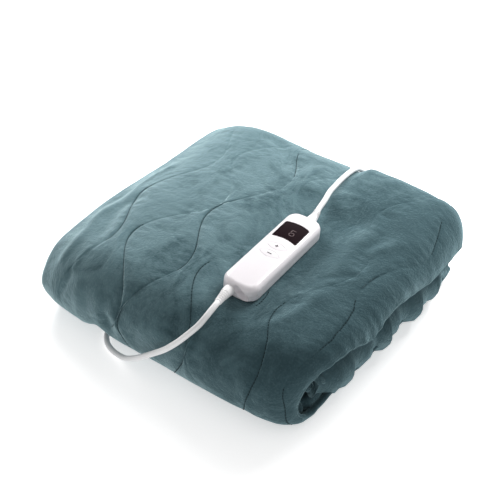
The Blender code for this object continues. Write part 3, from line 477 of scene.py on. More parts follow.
def flannel_pile(colours):
    """Brushed flannel: the nap lies one way or the other in patches. Painted shade darkens the stitch lines
    and the valleys beside them, and painted light and shade run from -X to +X.
    """
    recipe = Recipe("flannel_pile")
    here, op, ramp, mix = recipe.here, recipe.op, recipe.ramp, recipe.mix
    stroked = recipe.scaled(recipe.add("UVMap", "UV", {}, uv_map="cloth"), (1.0, 0.75, 1.0))
    quilt = recipe.add("Attribute", "Vector", {}, attribute_name="quilt")
    line, shown = (recipe.add("SeparateXYZ", axis, {0: quilt}) for axis in "XZ")
    # How far the nearest stitch line is, in metres.
    off = op("MULTIPLY", op("ABSOLUTE", op("SUBTRACT", line, op("ROUND", line))), LINE_PITCH)
    faint = ramp(recipe.noise(here, 17.0, detail=2.0), 0.34, 0.58)
    # Painted shade along each stitch-line furrow, faded in patches.
    furrow = op("MULTIPLY", ramp(off, 0.0003, 0.0011, 1.0, 0.0), shown)
    furrow = op("MULTIPLY", furrow, ramp(faint, 0.0, 1.0, 0.35, 1.0))
    # Painted shade in the shallow valley beside each stitch line.
    painted_valley_shade = op("MULTIPLY", ramp(off, 0.001, 0.009, 1.0, 0.0), shown)
    # The nap: broad patches, hand strokes, and the grain of the pile.
    patch = recipe.noise(here, 17.0, detail=5.0, roughness=0.62, distortion=0.9)
    stroke = recipe.noise(stroked, 52.0, detail=4.0, roughness=0.62, distortion=0.8)
    grain = recipe.noise(here, 420.0, roughness=0.6)
    tuft = recipe.noise(here, 1500.0, detail=2.0, roughness=0.6)
    nap = op("MULTIPLY_ADD", patch, 0.62, op("MULTIPLY", stroke, 0.38))
    # Painted light and shade: the nap is pushed lighter towards -X and darker towards +X, and the +X side is
    # darkened further.
    east = recipe.add("SeparateXYZ", "X", {0: here})
    painted_side_falloff = ramp(east, -0.21, 0.19, 0.17, -0.13, "LINEAR")
    # Painted shade that darkens the +X side further, in the colour and in the sheen.
    away = ramp(east, -0.02, 0.20, 0.0, 0.55)
    nap = ramp(op("ADD", nap, painted_side_falloff), 0.36, 0.60)
    fleck = op("MULTIPLY", ramp(grain, 0.45, 0.75), 0.35)
    painted_furrow_shade = op("MULTIPLY", furrow, 0.6)
    body = mix(fleck, mix(nap, colours.pile_shade, colours.pile), colours.pile_light)
    # Painted shade over the +X side.
    body = mix(away, body, colours.pile_shade)
    # Painted shade beside the stitch lines.
    body = mix(op("MULTIPLY", painted_valley_shade, 0.22), body, colours.pile_shade)
    # Painted shade in the stitch-line furrows.
    recipe.set(Base_Color=mix(painted_furrow_shade, body, colours.furrow), Roughness=0.95, Specular_IOR_Level=0.10)
    # The sheen tint takes the same painted shade over the +X side and in the stitch-line furrows.
    bloom = mix(away, mix(nap, colours.sheen_shade, colours.sheen), colours.sheen_shade)
    bloom = mix(painted_furrow_shade, bloom, colours.furrow)
    recipe.set(Sheen_Weight=1.0, Sheen_Roughness=0.45, Sheen_Tint=bloom)
    lift = op("MULTIPLY_ADD", grain, 0.7, op("MULTIPLY", tuft, 0.3))
    for unevenness, weight in ((stroke, 1.5), (patch, 3.0)):
        lift = op("MULTIPLY_ADD", op("SUBTRACT", unevenness, 0.5), weight, lift)
    recipe.bumped(lift, strength=0.6, distance=0.0014)
    return recipe.material


def sewing_thread(colours):
    """Twisted sewing thread."""
    recipe = Recipe("sewing_thread")
    twist = {"Scale": 900.0, "Vector": recipe.here}
    twist = recipe.add("TexWave", "Fac", twist, wave_type="BANDS", bands_direction="DIAGONAL")
    recipe.set(Base_Color=recipe.mix(twist, colours.thread, dimmed(colours.thread, 0.6)))
    recipe.set(Roughness=0.7, Specular_IOR_Level=0.12)
    recipe.bumped(twist, strength=0.4, distance=0.0002)
    return recipe.material


def moulded(name, tint, roughness, coat=0.0, grain=0.0006):
    """Moulded plastic: a faint unevenness of the gloss, and a fine grain from the tool."""
    recipe = Recipe(name)
    cloud = recipe.noise(recipe.here, 38.0)
    shade = recipe.mix(recipe.ramp(cloud, 0.3, 0.7), tint, dimmed(tint, 0.965))
    recipe.set(Base_Color=shade, Coat_Weight=coat, Coat_Roughness=0.12)
    recipe.set(Roughness=recipe.ramp(cloud, 0.25, 0.75, roughness - 0.04, roughness + 0.05))
    recipe.bumped(recipe.noise(recipe.here, 2600.0, detail=2.0), strength=0.12, distance=grain)
    return recipe.material


def window_acrylic(colours):
    recipe = Recipe("window_acrylic")
    smear = recipe.noise(recipe.scaled(recipe.here, (1.0, 3.0, 1.0)), 60.0)
    recipe.set(Base_Color=colours.window, Roughness=recipe.ramp(smear, 0.3, 0.7, 0.10, 0.18))
    recipe.set(IOR=1.49, Specular_IOR_Level=0.16)
    return recipe.material


def printed(name, tint):
    recipe = Recipe(name)
    wear = recipe.ramp(recipe.noise(recipe.here, 1400.0), 0.35, 0.75)
    recipe.set(Base_Color=recipe.mix(wear, tint, dimmed(tint, 1.25)), Roughness=0.5)
    return recipe.material


def nickel():
    recipe = Recipe("nickel_plate")
    scratches = recipe.noise(recipe.scaled(recipe.here, (1.0, 14.0, 14.0)), 260.0, detail=4.0)
    recipe.set(Base_Color=(0.72, 0.69, 0.62), Metallic=1.0)
    recipe.set(Roughness=recipe.ramp(scratches, 0.3, 0.75, 0.16, 0.34))
    recipe.bumped(scratches, strength=0.08, distance=0.0002)
    return recipe.material


def woven_tape(colours):
    """The tie's tape: fine loops in rows."""
    recipe = Recipe("woven_tape")
    loops = recipe.noise(recipe.here, 1800.0, roughness=0.7)
    recipe.set(Base_Color=recipe.mix(loops, colours.ink, dimmed(colours.ink, 1.8)))
    recipe.set(Roughness=0.85, Sheen_Weight=0.5)
    recipe.bumped(loops, strength=0.6, distance=0.0005)
    return recipe.material


def floor_paint(colours, glow):
    recipe = Recipe("floor_paint")
    cloud = recipe.noise(recipe.here, 2.0, detail=2.0)
    recipe.set(Base_Color=recipe.mix(cloud, colours.floor, dimmed(colours.floor, 0.99)), Roughness=0.9)
    recipe.set(Specular_IOR_Level=0.1, Emission_Color=(1.0, 1.0, 1.0), Emission_Strength=glow)
    return recipe.material


# ---- The quilted sheet ---------------------------------------------------------------------------
def fold_path():
    """Stations of the bundle's middle: place along the path, y, z, the outward normal's y and z, the y that
    the outer ply's face would have if laid flat, and how thick the cloth is (less at its rounded ends)."""
    bottom_z, low_z, high_z, top_z = (BUNDLE / 2 + PITCH * level for level in range(4))
    outer, small = FOLDED_Z / 2, PITCH / 2
    wrap_flat = WRAP_Y - math.pi * outer
    rise_flat = wrap_flat - (RISE_Y - WRAP_Y) - math.pi * outer / 2
    turns = {
        # middle y and z, radius, the normal's angle at both ends, flat y at angle 0, its growth per radian
        "back": (BACK_Y, top_z - BACK_BEND, BACK_BEND, BACK_ANGLE, 0, BACK_Y, BACK_BEND + BUNDLE / 2),
        "wrap": (WRAP_Y, outer, 1.5 * PITCH, 0, -math.pi, WRAP_Y, outer),
        "rise": (RISE_Y, bottom_z + small, small, math.pi, 0, rise_flat, outer / 2),
        "inner": (WRAP_Y, low_z + small, -small, 0, math.pi, None, None),
    }
    runs = {
        # from y, to y, z, the normal's z
        "top": (BACK_Y, WRAP_Y, top_z, 1.0),
        "bottom": (WRAP_Y, RISE_Y, bottom_z, -1.0),
        "low": (RISE_Y, WRAP_Y, low_z, 1.0),
        "high": (WRAP_Y, HIGH_END_Y, high_z, -1.0),
    }
    stations = []
    for order, (part, steps) in enumerate(PATH_STEPS):
        for share in np.arange(steps + (part == PATH_ORDER[-1])) / steps:
            if part in turns:
                middle_y, middle_z, radius, first, last, flat_zero, growth = turns[part]
                angle = first + (last - first) * share
                ny, nz = math.sin(angle), math.cos(angle)
                y, z = middle_y + radius * ny, middle_z + radius * nz
                flat = y if growth is None else flat_zero + growth * angle
            else:
                start, end, z, nz = runs[part]
                y, ny = start + (end - start) * share, 0.0
                flat = wrap_flat - (y - WRAP_Y) if part == "bottom" else y
            stations.append((order + share, y, z, ny, nz, flat, 1.0))
    return [np.array(column) for column in zip(*rounded_ends(stations))]


def rounded_ends(stations):
    """Adds the stations of the cloth's two cut ends, which are turned in and round."""
    head, tail = [], []
    for run in EDGE_ROUNDING:
        thin = math.sqrt(1 - run * run)
        for end, inner, into in ((stations[0], stations[1], head), (stations[-1], stations[-2], tail)):
            step = np.array(end[1:3]) - np.array(inner[1:3])
            ahead = step / np.hypot(*step) * PLY / 2 * run
            into.append((end[0], end[1] + ahead[0], end[2] + ahead[1], *end[3:6], thin))
    return [*head, *stations, *tail[::-1]]


def drawn_in(y):
    return DRAWN_IN * (1 - np.max([share * bell(y - at, half) for at, share, half in RIDGE_ROWS], axis=0))


def on_seat(x, y):
    """Places across and along the control."""
    east, north = x - CONTROL_SPOT.x, y - CONTROL_SPOT.y
    cos, sin = math.cos(CONTROL_TURN), math.sin(CONTROL_TURN)
    return east * cos + north * sin, north * cos - east * sin


def seat_share(x, y):
    """1 where the control presses the cloth flat, falling to 0 around it."""
    across, along = on_seat(x, y)
    out_x = np.maximum(np.abs(across) - CONTROL_WIDTH / 2 - SEAT_MARGIN, 0)
    out_y = np.maximum(np.abs(along) - CONTROL_LENGTH / 2 - RELIEF_LENGTH - SEAT_MARGIN, 0)
    return smooth(1 - np.hypot(out_x, out_y) / SEAT_SLOPE)


def line_at(index, flat):
    middle, swing, outermost = LINE_ROWS[index]
    x = middle + swing * np.cos(2 * math.pi * (flat - outermost) / LINE_PERIOD)
    for line, at, spread, stray in NUDGE_ROWS:
        if line == index:
            x = x + stray * bell(flat - at, spread)
    return x


def quilted(column, flat, left):
    """Where a column of the quilting lies along the outer ply, and how far the cloth stands up there. The
    column is counted in stitch lines, so 2.5 is halfway between the third and the fourth line. None lies
    beyond the -X turn at left."""
    before = min(int(column), LINE_COUNT - 2)
    share = column - before
    first = np.maximum(line_at(before, flat), left + TURN_EASE)
    nominal = (1 - share) * first + share * line_at(before + 1, flat)
    off = min(share, 1 - share) * LINE_PITCH
    near = before if share < 0.5 else before + 1
    plain = (1 - share) * plainness(before, flat) + share * plainness(before + 1, flat)
    puff = PUFF * math.sin(math.pi * share) ** PUFF_ROUND * (PUFF_LEAST + (1 - PUFF_LEAST) * plain)
    furrow = FURROW_DEPTH * bell(off, FURROW_HALF) * (FURROW_LEAST + (1 - FURROW_LEAST) * plain)
    shift = TUCK_SHIFT * near + TUCK_DRIFT * np.sin(flat * DRIFT_WAVE + near)
    tuck = TUCK_DEPTH * bell(off, TUCK_REACH) * (off / (off + FURROW_HALF))
    tuck = tuck * np.sin(2 * math.pi * flat / TUCK_EVERY + shift)
    return nominal, puff - furrow + tuck


def plainness(index, flat):
    """How plainly a stitch line shows at places along it: the nap closes over stretches that lean its way."""
    _, swing, outermost = LINE_ROWS[index]
    leaning = np.sin(2 * math.pi * (flat - outermost) / LINE_PERIOD) * -np.sign(swing)
    open_share = 1 - NAP_CLOSES * smooth(leaning * NAP_STEEP + NAP_BIAS) * (flat > SEAM_BELOW)
    shown = np.full_like(flat, LEAST_SHOWN)
    for line, start, end, plain in SHOWN_ROWS:
        if line == index:
            inside = smooth((flat - start) / SHOWN_SPREAD + 0.5) * smooth((end - flat) / SHOWN_SPREAD + 0.5)
            shown = np.maximum(shown, plain * inside * open_share)
    return shown


def crease_height(x, flat):
    height = np.zeros_like(flat)
    for x0, y0, x1, y1, half, tall in CREASE_ROWS:
        length = math.hypot(x1 - x0, y1 - y0)
        along = ((x - x0) * (x1 - x0) + (flat - y0) * (y1 - y0)) / length
        aside = ((x - x0) * (y1 - y0) - (flat - y0) * (x1 - x0)) / length
        bow = half * CREASE_BOW * np.sin(along * CREASE_WAVE + x0 * CREASE_SHIFT)
        inside = smooth(np.sin(np.pi * np.clip(along / length, 0, 1)) * CREASE_EASE)
        height += tall * inside * bell(aside - bow, half)
    return height


def ply_one(reach, side, hem, turn_x):
    """A point of the outer ply, whose middle runs from its -X turn to its hem. reach is the distance along
    it, counted as x on the flat stretch."""
    bend_x, radius, angle = hem
    size, way = np.abs(angle), np.sign(angle)
    past = np.maximum(reach - bend_x, 0)
    bent = np.minimum(past / radius, size)
    straight = np.maximum(past - radius * size, 0)
    x = np.minimum(reach, bend_x) + radius * np.sin(bent) + straight * np.cos(size)
    h = 2 * TURN - way * (radius * (1 - np.cos(bent)) + straight * np.sin(size))
    x = np.maximum(x, turn_x)
    return x + side * np.sin(way * bent), h + side * np.cos(bent), way * bent


def turned_columns(at_x, at_h, radius, steps, sign, back=False):
    """Columns round a fold, about a line at at_x and at_h, from above it to below it, or back."""
    angles = np.linspace(math.pi if back else 0.0, 0.0 if back else math.pi, steps)
    return [(at_x + sign * radius * math.sin(angle), at_h + radius * math.cos(angle)) for angle in angles]


def between(start_x, end_x, at_h, count):
    shares = np.arange(1, count + 1) / (count + 1)
    return [(start_x + (end_x - start_x) * share, at_h) for share in shares]


def stretched(nominal, reach_end):
    """Carries a place on the even quilt to its place on the outer ply, whose hem lies at reach_end."""
    beyond = np.maximum(nominal - EVEN_QUILT_TO, 0)
    scale = (reach_end - EVEN_QUILT_TO) / (HEM_NOMINAL - EVEN_QUILT_TO)
    return np.minimum(nominal, EVEN_QUILT_TO) + beyond * scale


def quilt_columns():
    """The outer face's columns, counted in stitch lines from the last one down to the first."""
    steps = np.arange((LINE_COUNT - 1) * CHANNEL_STEPS) / CHANNEL_STEPS
    crowded = steps % 1 - CHANNEL_CROWD * np.sin(2 * math.pi * (steps % 1))
    return (LINE_COUNT - 1 - steps // 1 - crowded).tolist()


def outer_face(path, hem, reach_end, left, half):
    """The outer ply's quilted face, from its hem to the -X turn, and each column's stitch-line count."""
    place, flat, thin = path[0], path[5], path[6]
    shown = smooth((PATH_ORDER.index("bottom") - QUILT_ENDS_BEFORE - place) / QUILT_ENDS_OVER)
    last = LINE_COUNT - 1
    columns, counts = [], []
    for share in HEM_SHARES:
        nominal = HEM_NOMINAL * share + (1 - share) * line_at(last, flat)
        swell = HEM_SWELL * math.sin(math.pi * share) * thin
        columns.append(ply_one(stretched(nominal, reach_end), half + swell, hem, left)[:2])
        counts.append(last + (HEM_NOMINAL - LINE_ROWS[last][0]) * share / LINE_PITCH)
    for column in quilt_columns():
        nominal, puff = quilted(column, flat, left)
        reach = stretched(nominal, reach_end)
        puff = puff * smooth((reach - left) / TURN_FADE)
        rise = (puff + crease_height(reach, flat)) * (1 - seat_share(reach, flat)) * shown * thin
        columns.append(ply_one(reach, half + rise, hem, left)[:2])
        counts.append(column)
    return columns, counts


def hem_edge(hem, reach_end, left, half):
    """Round the outer ply's hem, back to its outward face."""
    columns = []
    for angle in np.radians(np.linspace(-HEM_ROUND, HEM_ROUND, INSIDE_COLUMNS)):
        x, h, bent = ply_one(reach_end, half * math.sin(angle), hem, left)
        out = half * math.cos(angle)
        columns.append((x + out * np.cos(bent), h - out * np.sin(bent)))
    return columns


def section_columns(path):
    """The bundle's section as a closed loop of columns, each a pair of arrays over the stations: x, and the
    height above the bundle's middle, towards the outer ply. With them, each column's stitch-line count,
    which is -1 off the quilted face."""
    place, y, thin = path[0], path[1], path[6]
    bend_x, radius, degrees, drop = along_rows(HEM_ROWS, place)
    left, right, gathered = along_rows(FOLD_ROWS, place)
    pull = drawn_in(y) * gathered
    turning = np.clip(place - PATH_ORDER.index("wrap"), 0, 1)
    right = right - pull - WRAP_GATHER * np.sin(math.pi * WRAP_GATHERS * turning) ** 2
    bend_x = bend_x - pull * np.where(place > PATH_ORDER.index("rise"), 1.0, HEM_PULL)
    hem = (bend_x, radius, np.radians(degrees))
    reach_end = bend_x + radius * np.abs(hem[2]) + drop
    half = PLY / 2 * thin
    face, counts = outer_face(path, hem, reach_end, left, half)
    outside, inside, flat, hidden = OUTSIDE_COLUMNS, INSIDE_COLUMNS, FLAT_COLUMNS, HIDDEN_COLUMNS
    rest = [
        # Round the -X turn, along the middle ply's under face, and inside the +X turn.
        *turned_columns(left, TURN, TURN + half, outside, -1),
        *between(left, right, -half, flat),
        *turned_columns(right, -TURN, TURN - half, inside, 1),
        # The innermost ply: its upper face, its hem and its under face. Then outside the +X turn.
        *between(right, INNER_HEM_X, half - 2 * TURN, hidden),
        *turned_columns(INNER_HEM_X, -2 * TURN, half, inside, -1),
        *between(INNER_HEM_X, right, -half - 2 * TURN, hidden),
        *turned_columns(right, -TURN, TURN + half, outside, 1, back=True),
        # The middle ply's upper face, inside the -X turn, and the outer ply's inward face.
        *between(right, left, half, flat),
        *turned_columns(left, TURN, TURN - half, inside, -1, back=True),
        *(ply_one(stretched(at, reach_end), -half, hem, left)[:2] for at in INWARD_COLUMNS),
        *hem_edge(hem, reach_end, left, half),
    ]
    return face + rest, counts + [-1.0] * len(rest)


def fuller_wrap(y, z):
    """Moves the lower half of the front wrap outwards, away from the wrap's middle."""
    ahead = np.maximum(WRAP_Y - y, 0)
    below = np.maximum(FOLDED_Z / 2 - z, 0)
    radius = np.hypot(ahead, below)
    spread = np.maximum(ahead**WRAP_FULLNESS + below**WRAP_FULLNESS, 1e-12) ** (1 / WRAP_FULLNESS)
    full = np.where((ahead > 0) & (below > 0), radius / spread, 1.0)
    return y - ahead * (full - 1), z - below * (full - 1)


def settled(x, y, z):
    """Lets the stack sag: the corners draw in, the top crowns, and the control presses its seat flat."""
    y, z = fuller_wrap(y, z)
    lift = np.ones_like(x)
    for at_x, at_y, wide_x, wide_y, rise in SAG_ROWS:
        lift += rise * bell(x - at_x, wide_x) * bell(y - at_y, wide_y)
    seat = seat_share(x, y)
    seat_z = SEAT_Z - math.tan(CONTROL_ROLL) * on_seat(x, y)[0]
    z = z * (lift * (1 - seat) + seat * seat_z / FOLDED_Z)
    right, behind = smooth(x / FOLDED_X + 0.5), smooth(y / FOLDED_Y + 0.5)
    draw = FOOT_DRAW * (1 - smooth(z / FOOT_RISE)) * (1 - right) * (1 - behind)
    for at_side, (front, back) in zip((1 - right, right), CORNER_DRAW):
        draw = draw + at_side * (front * (1 - behind) + back * behind)
    tunnel = TUNNEL_RISE * bell(x - TUNNEL_AT[0], TUNNEL_SPREAD[0]) * bell(y - TUNNEL_AT[1], TUNNEL_SPREAD[1])
    z = z + np.maximum(tunnel - TUNNEL_FLOOR, 0) * (1 - smooth(z / FOLDED_Z))
    share_x, share_y = np.abs(x) / (FOLDED_X / 2), np.abs(y) / (FOLDED_Y / 2)
    return x * (1 - draw * share_y**CORNER_POWER), y * (1 - draw * share_x**CORNER_POWER), np.maximum(z, 0.0)


def rippled(points):
    """Moves points a little along the normals of the surface they make, as uneven cloth lies."""
    along = np.roll(points, -1, axis=0) - np.roll(points, 1, axis=0)
    normal = np.cross(np.gradient(points, axis=1), along)
    normal /= np.maximum(np.linalg.norm(normal, axis=2, keepdims=True), 1e-9)
    heights = np.zeros(points[..., 0].size)
    for length, tall in RIPPLE_ROWS:
        heights += tall * np.array([noise.noise(Vector(place)) for place in points.reshape(-1, 3) / length])
    free = (1 - seat_share(points[..., 0], points[..., 1])) * smooth(points[..., 2] / RESTING_Z)
    points = points + normal * (heights.reshape(free.shape) * free)[..., None]
    points[..., 2] = np.maximum(points[..., 2], 0.0)
    return points


def sheet_points():
    """The sheet's points (column, station, xyz), their stitch-line counts, and the path."""
    path = fold_path()
    y, z, ny, nz = path[1:5]
    columns, counts = section_columns(path)
    grid = np.array([settled(x, y + h * ny, z + h * nz) for x, h in columns])
    return rippled(grid.transpose(0, 2, 1)), counts, path


def sheet_mesh(points, counts, path):
    """The closed mesh of the sheet. Its cloth UV is in metres round the section and along the path, and its
    quilt attribute holds the stitch-line count, the flat y and how plainly that line shows."""
    place, flat = path[0], path[5]
    columns, stations = points.shape[:2]
    grid = np.arange(columns * stations).reshape(columns, stations)
    after = np.roll(grid, -1, axis=0)
    quads = np.stack([grid[:, :-1], after[:, :-1], after[:, 1:], grid[:, 1:]], axis=-1).reshape(-1, 4)
    ends = [grid[::-1, 0].tolist(), grid[:, -1].tolist()]
    data = bpy.data.meshes.new("folded_throw")
    data.from_pydata((points + np.array(SHIFT)).reshape(-1, 3).tolist(), [], quads.tolist() + ends)
    corners = np.empty(len(data.loops), np.int64)
    data.loops.foreach_get("vertex_index", corners)
    section, length = (
        np.insert(np.cumsum(np.linalg.norm(np.diff(points, axis=axis), axis=2).mean(axis=1 - axis)), 0, 0)
        for axis in (0, 1)
    )
    cloth = np.stack([section[corners // stations], length[corners % stations]], axis=-1)
    data.uv_layers.new(name="cloth").data.foreach_set("uv", cloth.ravel())
    shown = smooth((PATH_ORDER.index("bottom") + LINES_SHOWN_TO - place) / LINES_END_OVER)
    quilt = np.zeros((columns, stations, 3), np.float32)
    quilt[..., 0] = np.array(counts)[:, None]
    quilt[..., 1] = flat
    for index, count in enumerate(counts):
        if count >= 0:
            quilt[index, :, 2] = shown * plainness(min(round(count), LINE_COUNT - 1), flat)
    data.attributes.new("quilt", "FLOAT_VECTOR", "POINT").data.foreach_set("vector", quilt.ravel())
    mesh = bmesh.new()
    mesh.from_mesh(data)
    bmesh.ops.triangulate(mesh, faces=[face for face in mesh.faces if len(face.verts) > 4])
    bmesh.ops.recalc_face_normals(mesh, faces=mesh.faces[:])
    mesh.to_mesh(data)
    mesh.free()
    data.shade_smooth()
    return data


class THROW_OT_fold_cloth(bpy.types.Operator):
    """Fold the quilted sheet in three, then the bundle in four, and let it settle"""

    bl_idname = "throw.fold_cloth"
    bl_label = "Fold the Cloth"

    def execute(self, context):
        throw = linked("folded_throw", sheet_mesh(*sheet_points()))
        hand_over(throw, flannel_pile(context.scene.throw_colours), "flannel", "blanket")
        return {"FINISHED"}


# ---- The stitching -------------------------------------------------------------------------------
def stitch_places(points, counts, path, sizes):
    """Matrices that lay a stitch along each shown stitch line: its length is along X, its top is +Z."""
    place, flat = path[0], path[5]
    along = np.roll(points, -1, axis=0) - np.roll(points, 1, axis=0)
    outward = np.cross(along, np.gradient(points, axis=1))
    chance = np.random.default_rng(STITCH_SEED)
    apart, half_long = sizes.stitch_every, sizes.stitch_long / 2
    places = []
    for line in range(1, LINE_COUNT):
        column = counts.index(line)
        shows = plainness(line, flat) * (place < PATH_ORDER.index("bottom"))
        spots = points[column]
        reach = lengths_along(spots)
        for middle in np.arange(apart, reach[-1] - apart, apart):
            plain = np.interp(middle, reach, shows)
            middle += chance.normal(0, apart * STITCH_STRAY)
            start, at, end, up = (
                np.array([np.interp(middle + off, reach, axis) for axis in of.T])
                for off, of in ((-half_long, spots), (0, spots), (half_long, spots), (0, outward[column]))
            )
            across, beyond = on_seat(at[0], at[1])
            covered = abs(across) < CONTROL_WIDTH / 2 + sizes.thread
            covered = covered and abs(beyond) < CONTROL_LENGTH / 2 + RELIEF_LENGTH and at[2] > FOLDED_Z / 2
            if plain < STITCH_LEAST or at[2] < STITCH_LOWEST or covered:
                continue
            ahead = (end - start) / np.linalg.norm(end - start)
            up = up - ahead * (up @ ahead)
            up /= np.linalg.norm(up)
            turned = np.eye(4)
            turned[:3, 0] = ahead * chance.uniform(*STITCH_STRETCH)
            turned[:3, 1] = np.cross(up, ahead)
            turned[:3, 2] = up
            turned[:3, 3] = at + up * STITCH_PROUD + np.array(SHIFT)
            places.append(turned)
    return places


def one_stitch(sizes):
    """A stitch's visible thread, drawn down into the cloth at both ends."""
    long = sizes.stitch_long
    stitch = added("one_stitch", bpy.ops.mesh.primitive_cylinder_add, vertices=6, radius=sizes.thread / 2,
                   depth=long, location=(0, 0, 0), rotation=(0, math.pi / 2, 0))
    divided(stitch, runs_along("x", long / 2), cuts=3)
    for side in (1, -1):
        choose(stitch, "VERT", lambda co: co.x * side > long / 2 - TINY)
        bpy.ops.transform.resize(value=(1, STITCH_TIP, STITCH_TIP), center_override=(side * long / 2, 0, 0))
        bpy.ops.transform.translate(value=(0, 0, -STITCH_BOW))
    alone(stitch)
    return stitch


class THROW_OT_sew_lines(bpy.types.Operator):
    """Sew the quilting: one stitch, copied along the lines where the thread shows, all in one piece"""

    bl_idname = "throw.sew_lines"
    bl_label = "Sew the Quilting"

    def execute(self, context):
        sizes = context.scene.throw_sizes
        stitch = one_stitch(sizes)
        shape = np.array([(*vertex.co, 1.0) for vertex in stitch.data.vertices])
        faces = [tuple(face.vertices) for face in stitch.data.polygons]
        bpy.data.objects.remove(stitch)
        places = stitch_places(*sheet_points(), sizes)
        if not places:
            raise RuntimeError("No stitch line shows, so there is no thread to sew")
        sewn = np.concatenate([(shape @ place.T)[:, :3] for place in places])
        steps = range(0, len(sewn), len(shape))
        data = bpy.data.meshes.new("quilting_thread")
        data.from_pydata(sewn.tolist(), [], [[at + step for at in face] for step in steps for face in faces])
        data.shade_smooth()
        hand_over(linked("quilting_thread", data), sewing_thread(context.scene.throw_colours), "flannel")
        return {"FINISHED"}


# ---- The leads -----------------------------------------------------------------------------------
def curve_through(points, gap):
    """Points about a gap apart on a smooth curve through the route's points."""
    padded = [2 * points[0] - points[1], *points, 2 * points[-1] - points[-2]]
    fine = []
    for a, b, c, d in zip(padded, padded[1:], padded[2:], padded[3:]):
        for t in np.arange(CURVE_PARTS) / CURVE_PARTS:
            bent = (2 * a - 5 * b + 4 * c - d) * t**2 + (3 * b - a - 3 * c + d) * t**3
            fine.append(0.5 * (2 * b + (c - a) * t + bent))
    fine = np.array([*fine, points[-1]])
    reach = lengths_along(fine)
    places = np.linspace(0, reach[-1], max(2, round(reach[-1] / gap)) + 1)
    return [Vector(np.interp(place, reach, axis) for axis in fine.T) for place in places]


def coil_route():
    """The coil's turns: two flat layers, wound inwards on the floor, then outwards on top, then off the
    edge and down to the floor on the -X side."""
    lowest = COIL_Z + COIL_PITCH / 2
    outermost = COIL_INNER + COIL_TURNS * COIL_PITCH
    layer = 360 * COIL_TURNS
    upper = layer + COIL_CLIMB
    last = upper + layer
    route = []
    for degrees in np.arange(COIL_START, last + COIL_LEAVE + 1, COIL_STEP):
        if degrees < upper:
            radius = max(outermost - COIL_PITCH * degrees / 360, COIL_INNER)
            level = smooth((degrees - layer) / COIL_CLIMB)
        else:
            share = max(degrees - last, 0) / COIL_LEAVE
            radius = min(COIL_INNER + COIL_PITCH * (degrees - upper) / 360, outermost)
            radius += COIL_SIDESTEP * math.sin(math.pi / 2 * smooth(share / COIL_OUT_BY))
            level = 1 - smooth((share - COIL_DOWN_FROM) / (1 - COIL_DOWN_FROM))
        radius += COIL_SIDESTEP * (1 - smooth(degrees / COIL_ENTER))
        angle = math.radians(degrees)
        x, y = COIL_AT[0] + radius * math.cos(angle), COIL_AT[1] + radius * math.sin(angle)
        route.append((x, y, lowest + COIL_PITCH * level))
    return route


def tail_route():
    """From the coil's -X side round to the plug, which points along -X."""
    level = COIL_Z + COIL_PITCH / 2
    route = []
    for degrees in TAIL_ANGLES:
        angle = math.radians(degrees)
        x = TAIL_SIDE - TAIL_RADIUS * (1 - math.cos(angle))
        y = COIL_AT[1] - TAIL_RADIUS * math.sin(angle)
        route.append((x, y, level + (PLUG_Z - level) * smooth(degrees / 90)))
    return [*route, PLUG_AT]


def from_relief(row):
    """The lead's first places beyond the tip of a strain relief, on the line of its end."""
    _, _, middle, end, lean = row
    places = []
    for ahead in LEAD_STARTS:
        across = middle + lean + 2 * lean / RELIEF_LENGTH * ahead
        along = end * (CONTROL_LENGTH / 2 + CLEAR + RELIEF_LENGTH + ahead)
        places.append(ON_CONTROL @ Vector((across, along, RELIEF_Z)) - SHIFT)
    return places


def lead_curve(name, route):
    """The lead along the route, the place where it starts, and its length."""
    points = curve_through([Vector(point) + SHIFT for point in route], LEAD_POINT_GAP)
    curve = bpy.data.curves.new(name, "CURVE")
    curve.dimensions = "3D"
    spline = curve.splines.new("POLY")
    spline.points.add(len(points) - 1)
    for point, place in zip(spline.points, points):
        point.co = (*place, 1.0)
    curve.bevel_depth = LEAD_SIZE / 2
    curve.bevel_resolution = 6
    curve.use_fill_caps = True
    return linked(name, curve), points[0], round(float(lengths_along(points)[-1]), 3)


class THROW_OT_run_leads(bpy.types.Operator):
    """Run the lead from the hand control into the throw, and the mains lead with its coil"""

    bl_idname = "throw.run_leads"
    bl_label = "Run the Leads"

    def execute(self, context):
        colours = context.scene.throw_colours
        sheath = moulded("lead_sheath", colours.sheath, roughness=0.42, grain=0.0003)
        lead, start, length = lead_curve("throw_lead", [*from_relief(RELIEFS[0]), *BLANKET_LEAD_ROUTE])
        hand_over(lead, sheath, "lead_sheath", "lead_to_blanket")
        route = [*from_relief(RELIEFS[1]), *MAINS_LEAD_ROUTE, *coil_route(), *tail_route()]
        lead, start, length = lead_curve("mains_lead_whole", route)
        hand_over(lead, sheath, "lead_sheath", "mains_lead", "mains_coil", "mains_tail")
        return {"FINISHED"}


# ---- Shaping by hand -----------------------------------------------------------------------------
def alone(piece=None):
    """Leaves edit mode with nothing selected, or with only this piece selected and active."""
    if bpy.context.mode != "OBJECT":
        bpy.ops.object.mode_set(mode="OBJECT")
    bpy.ops.object.select_all(action="DESELECT")
    if piece:
        bpy.context.view_layer.objects.active = piece
        piece.select_set(True)


def added(name, primitive, **settings):
    """Adds a primitive, names it and fixes its place and size in its mesh."""
    alone()
    primitive(**settings)
    piece = bpy.context.object
    piece.name = name
    bpy.ops.object.transform_apply(location=True, rotation=True, scale=True)
    return piece


def cube(name, size, middle):
    return added(name, bpy.ops.mesh.primitive_cube_add, size=1, location=middle, scale=size)


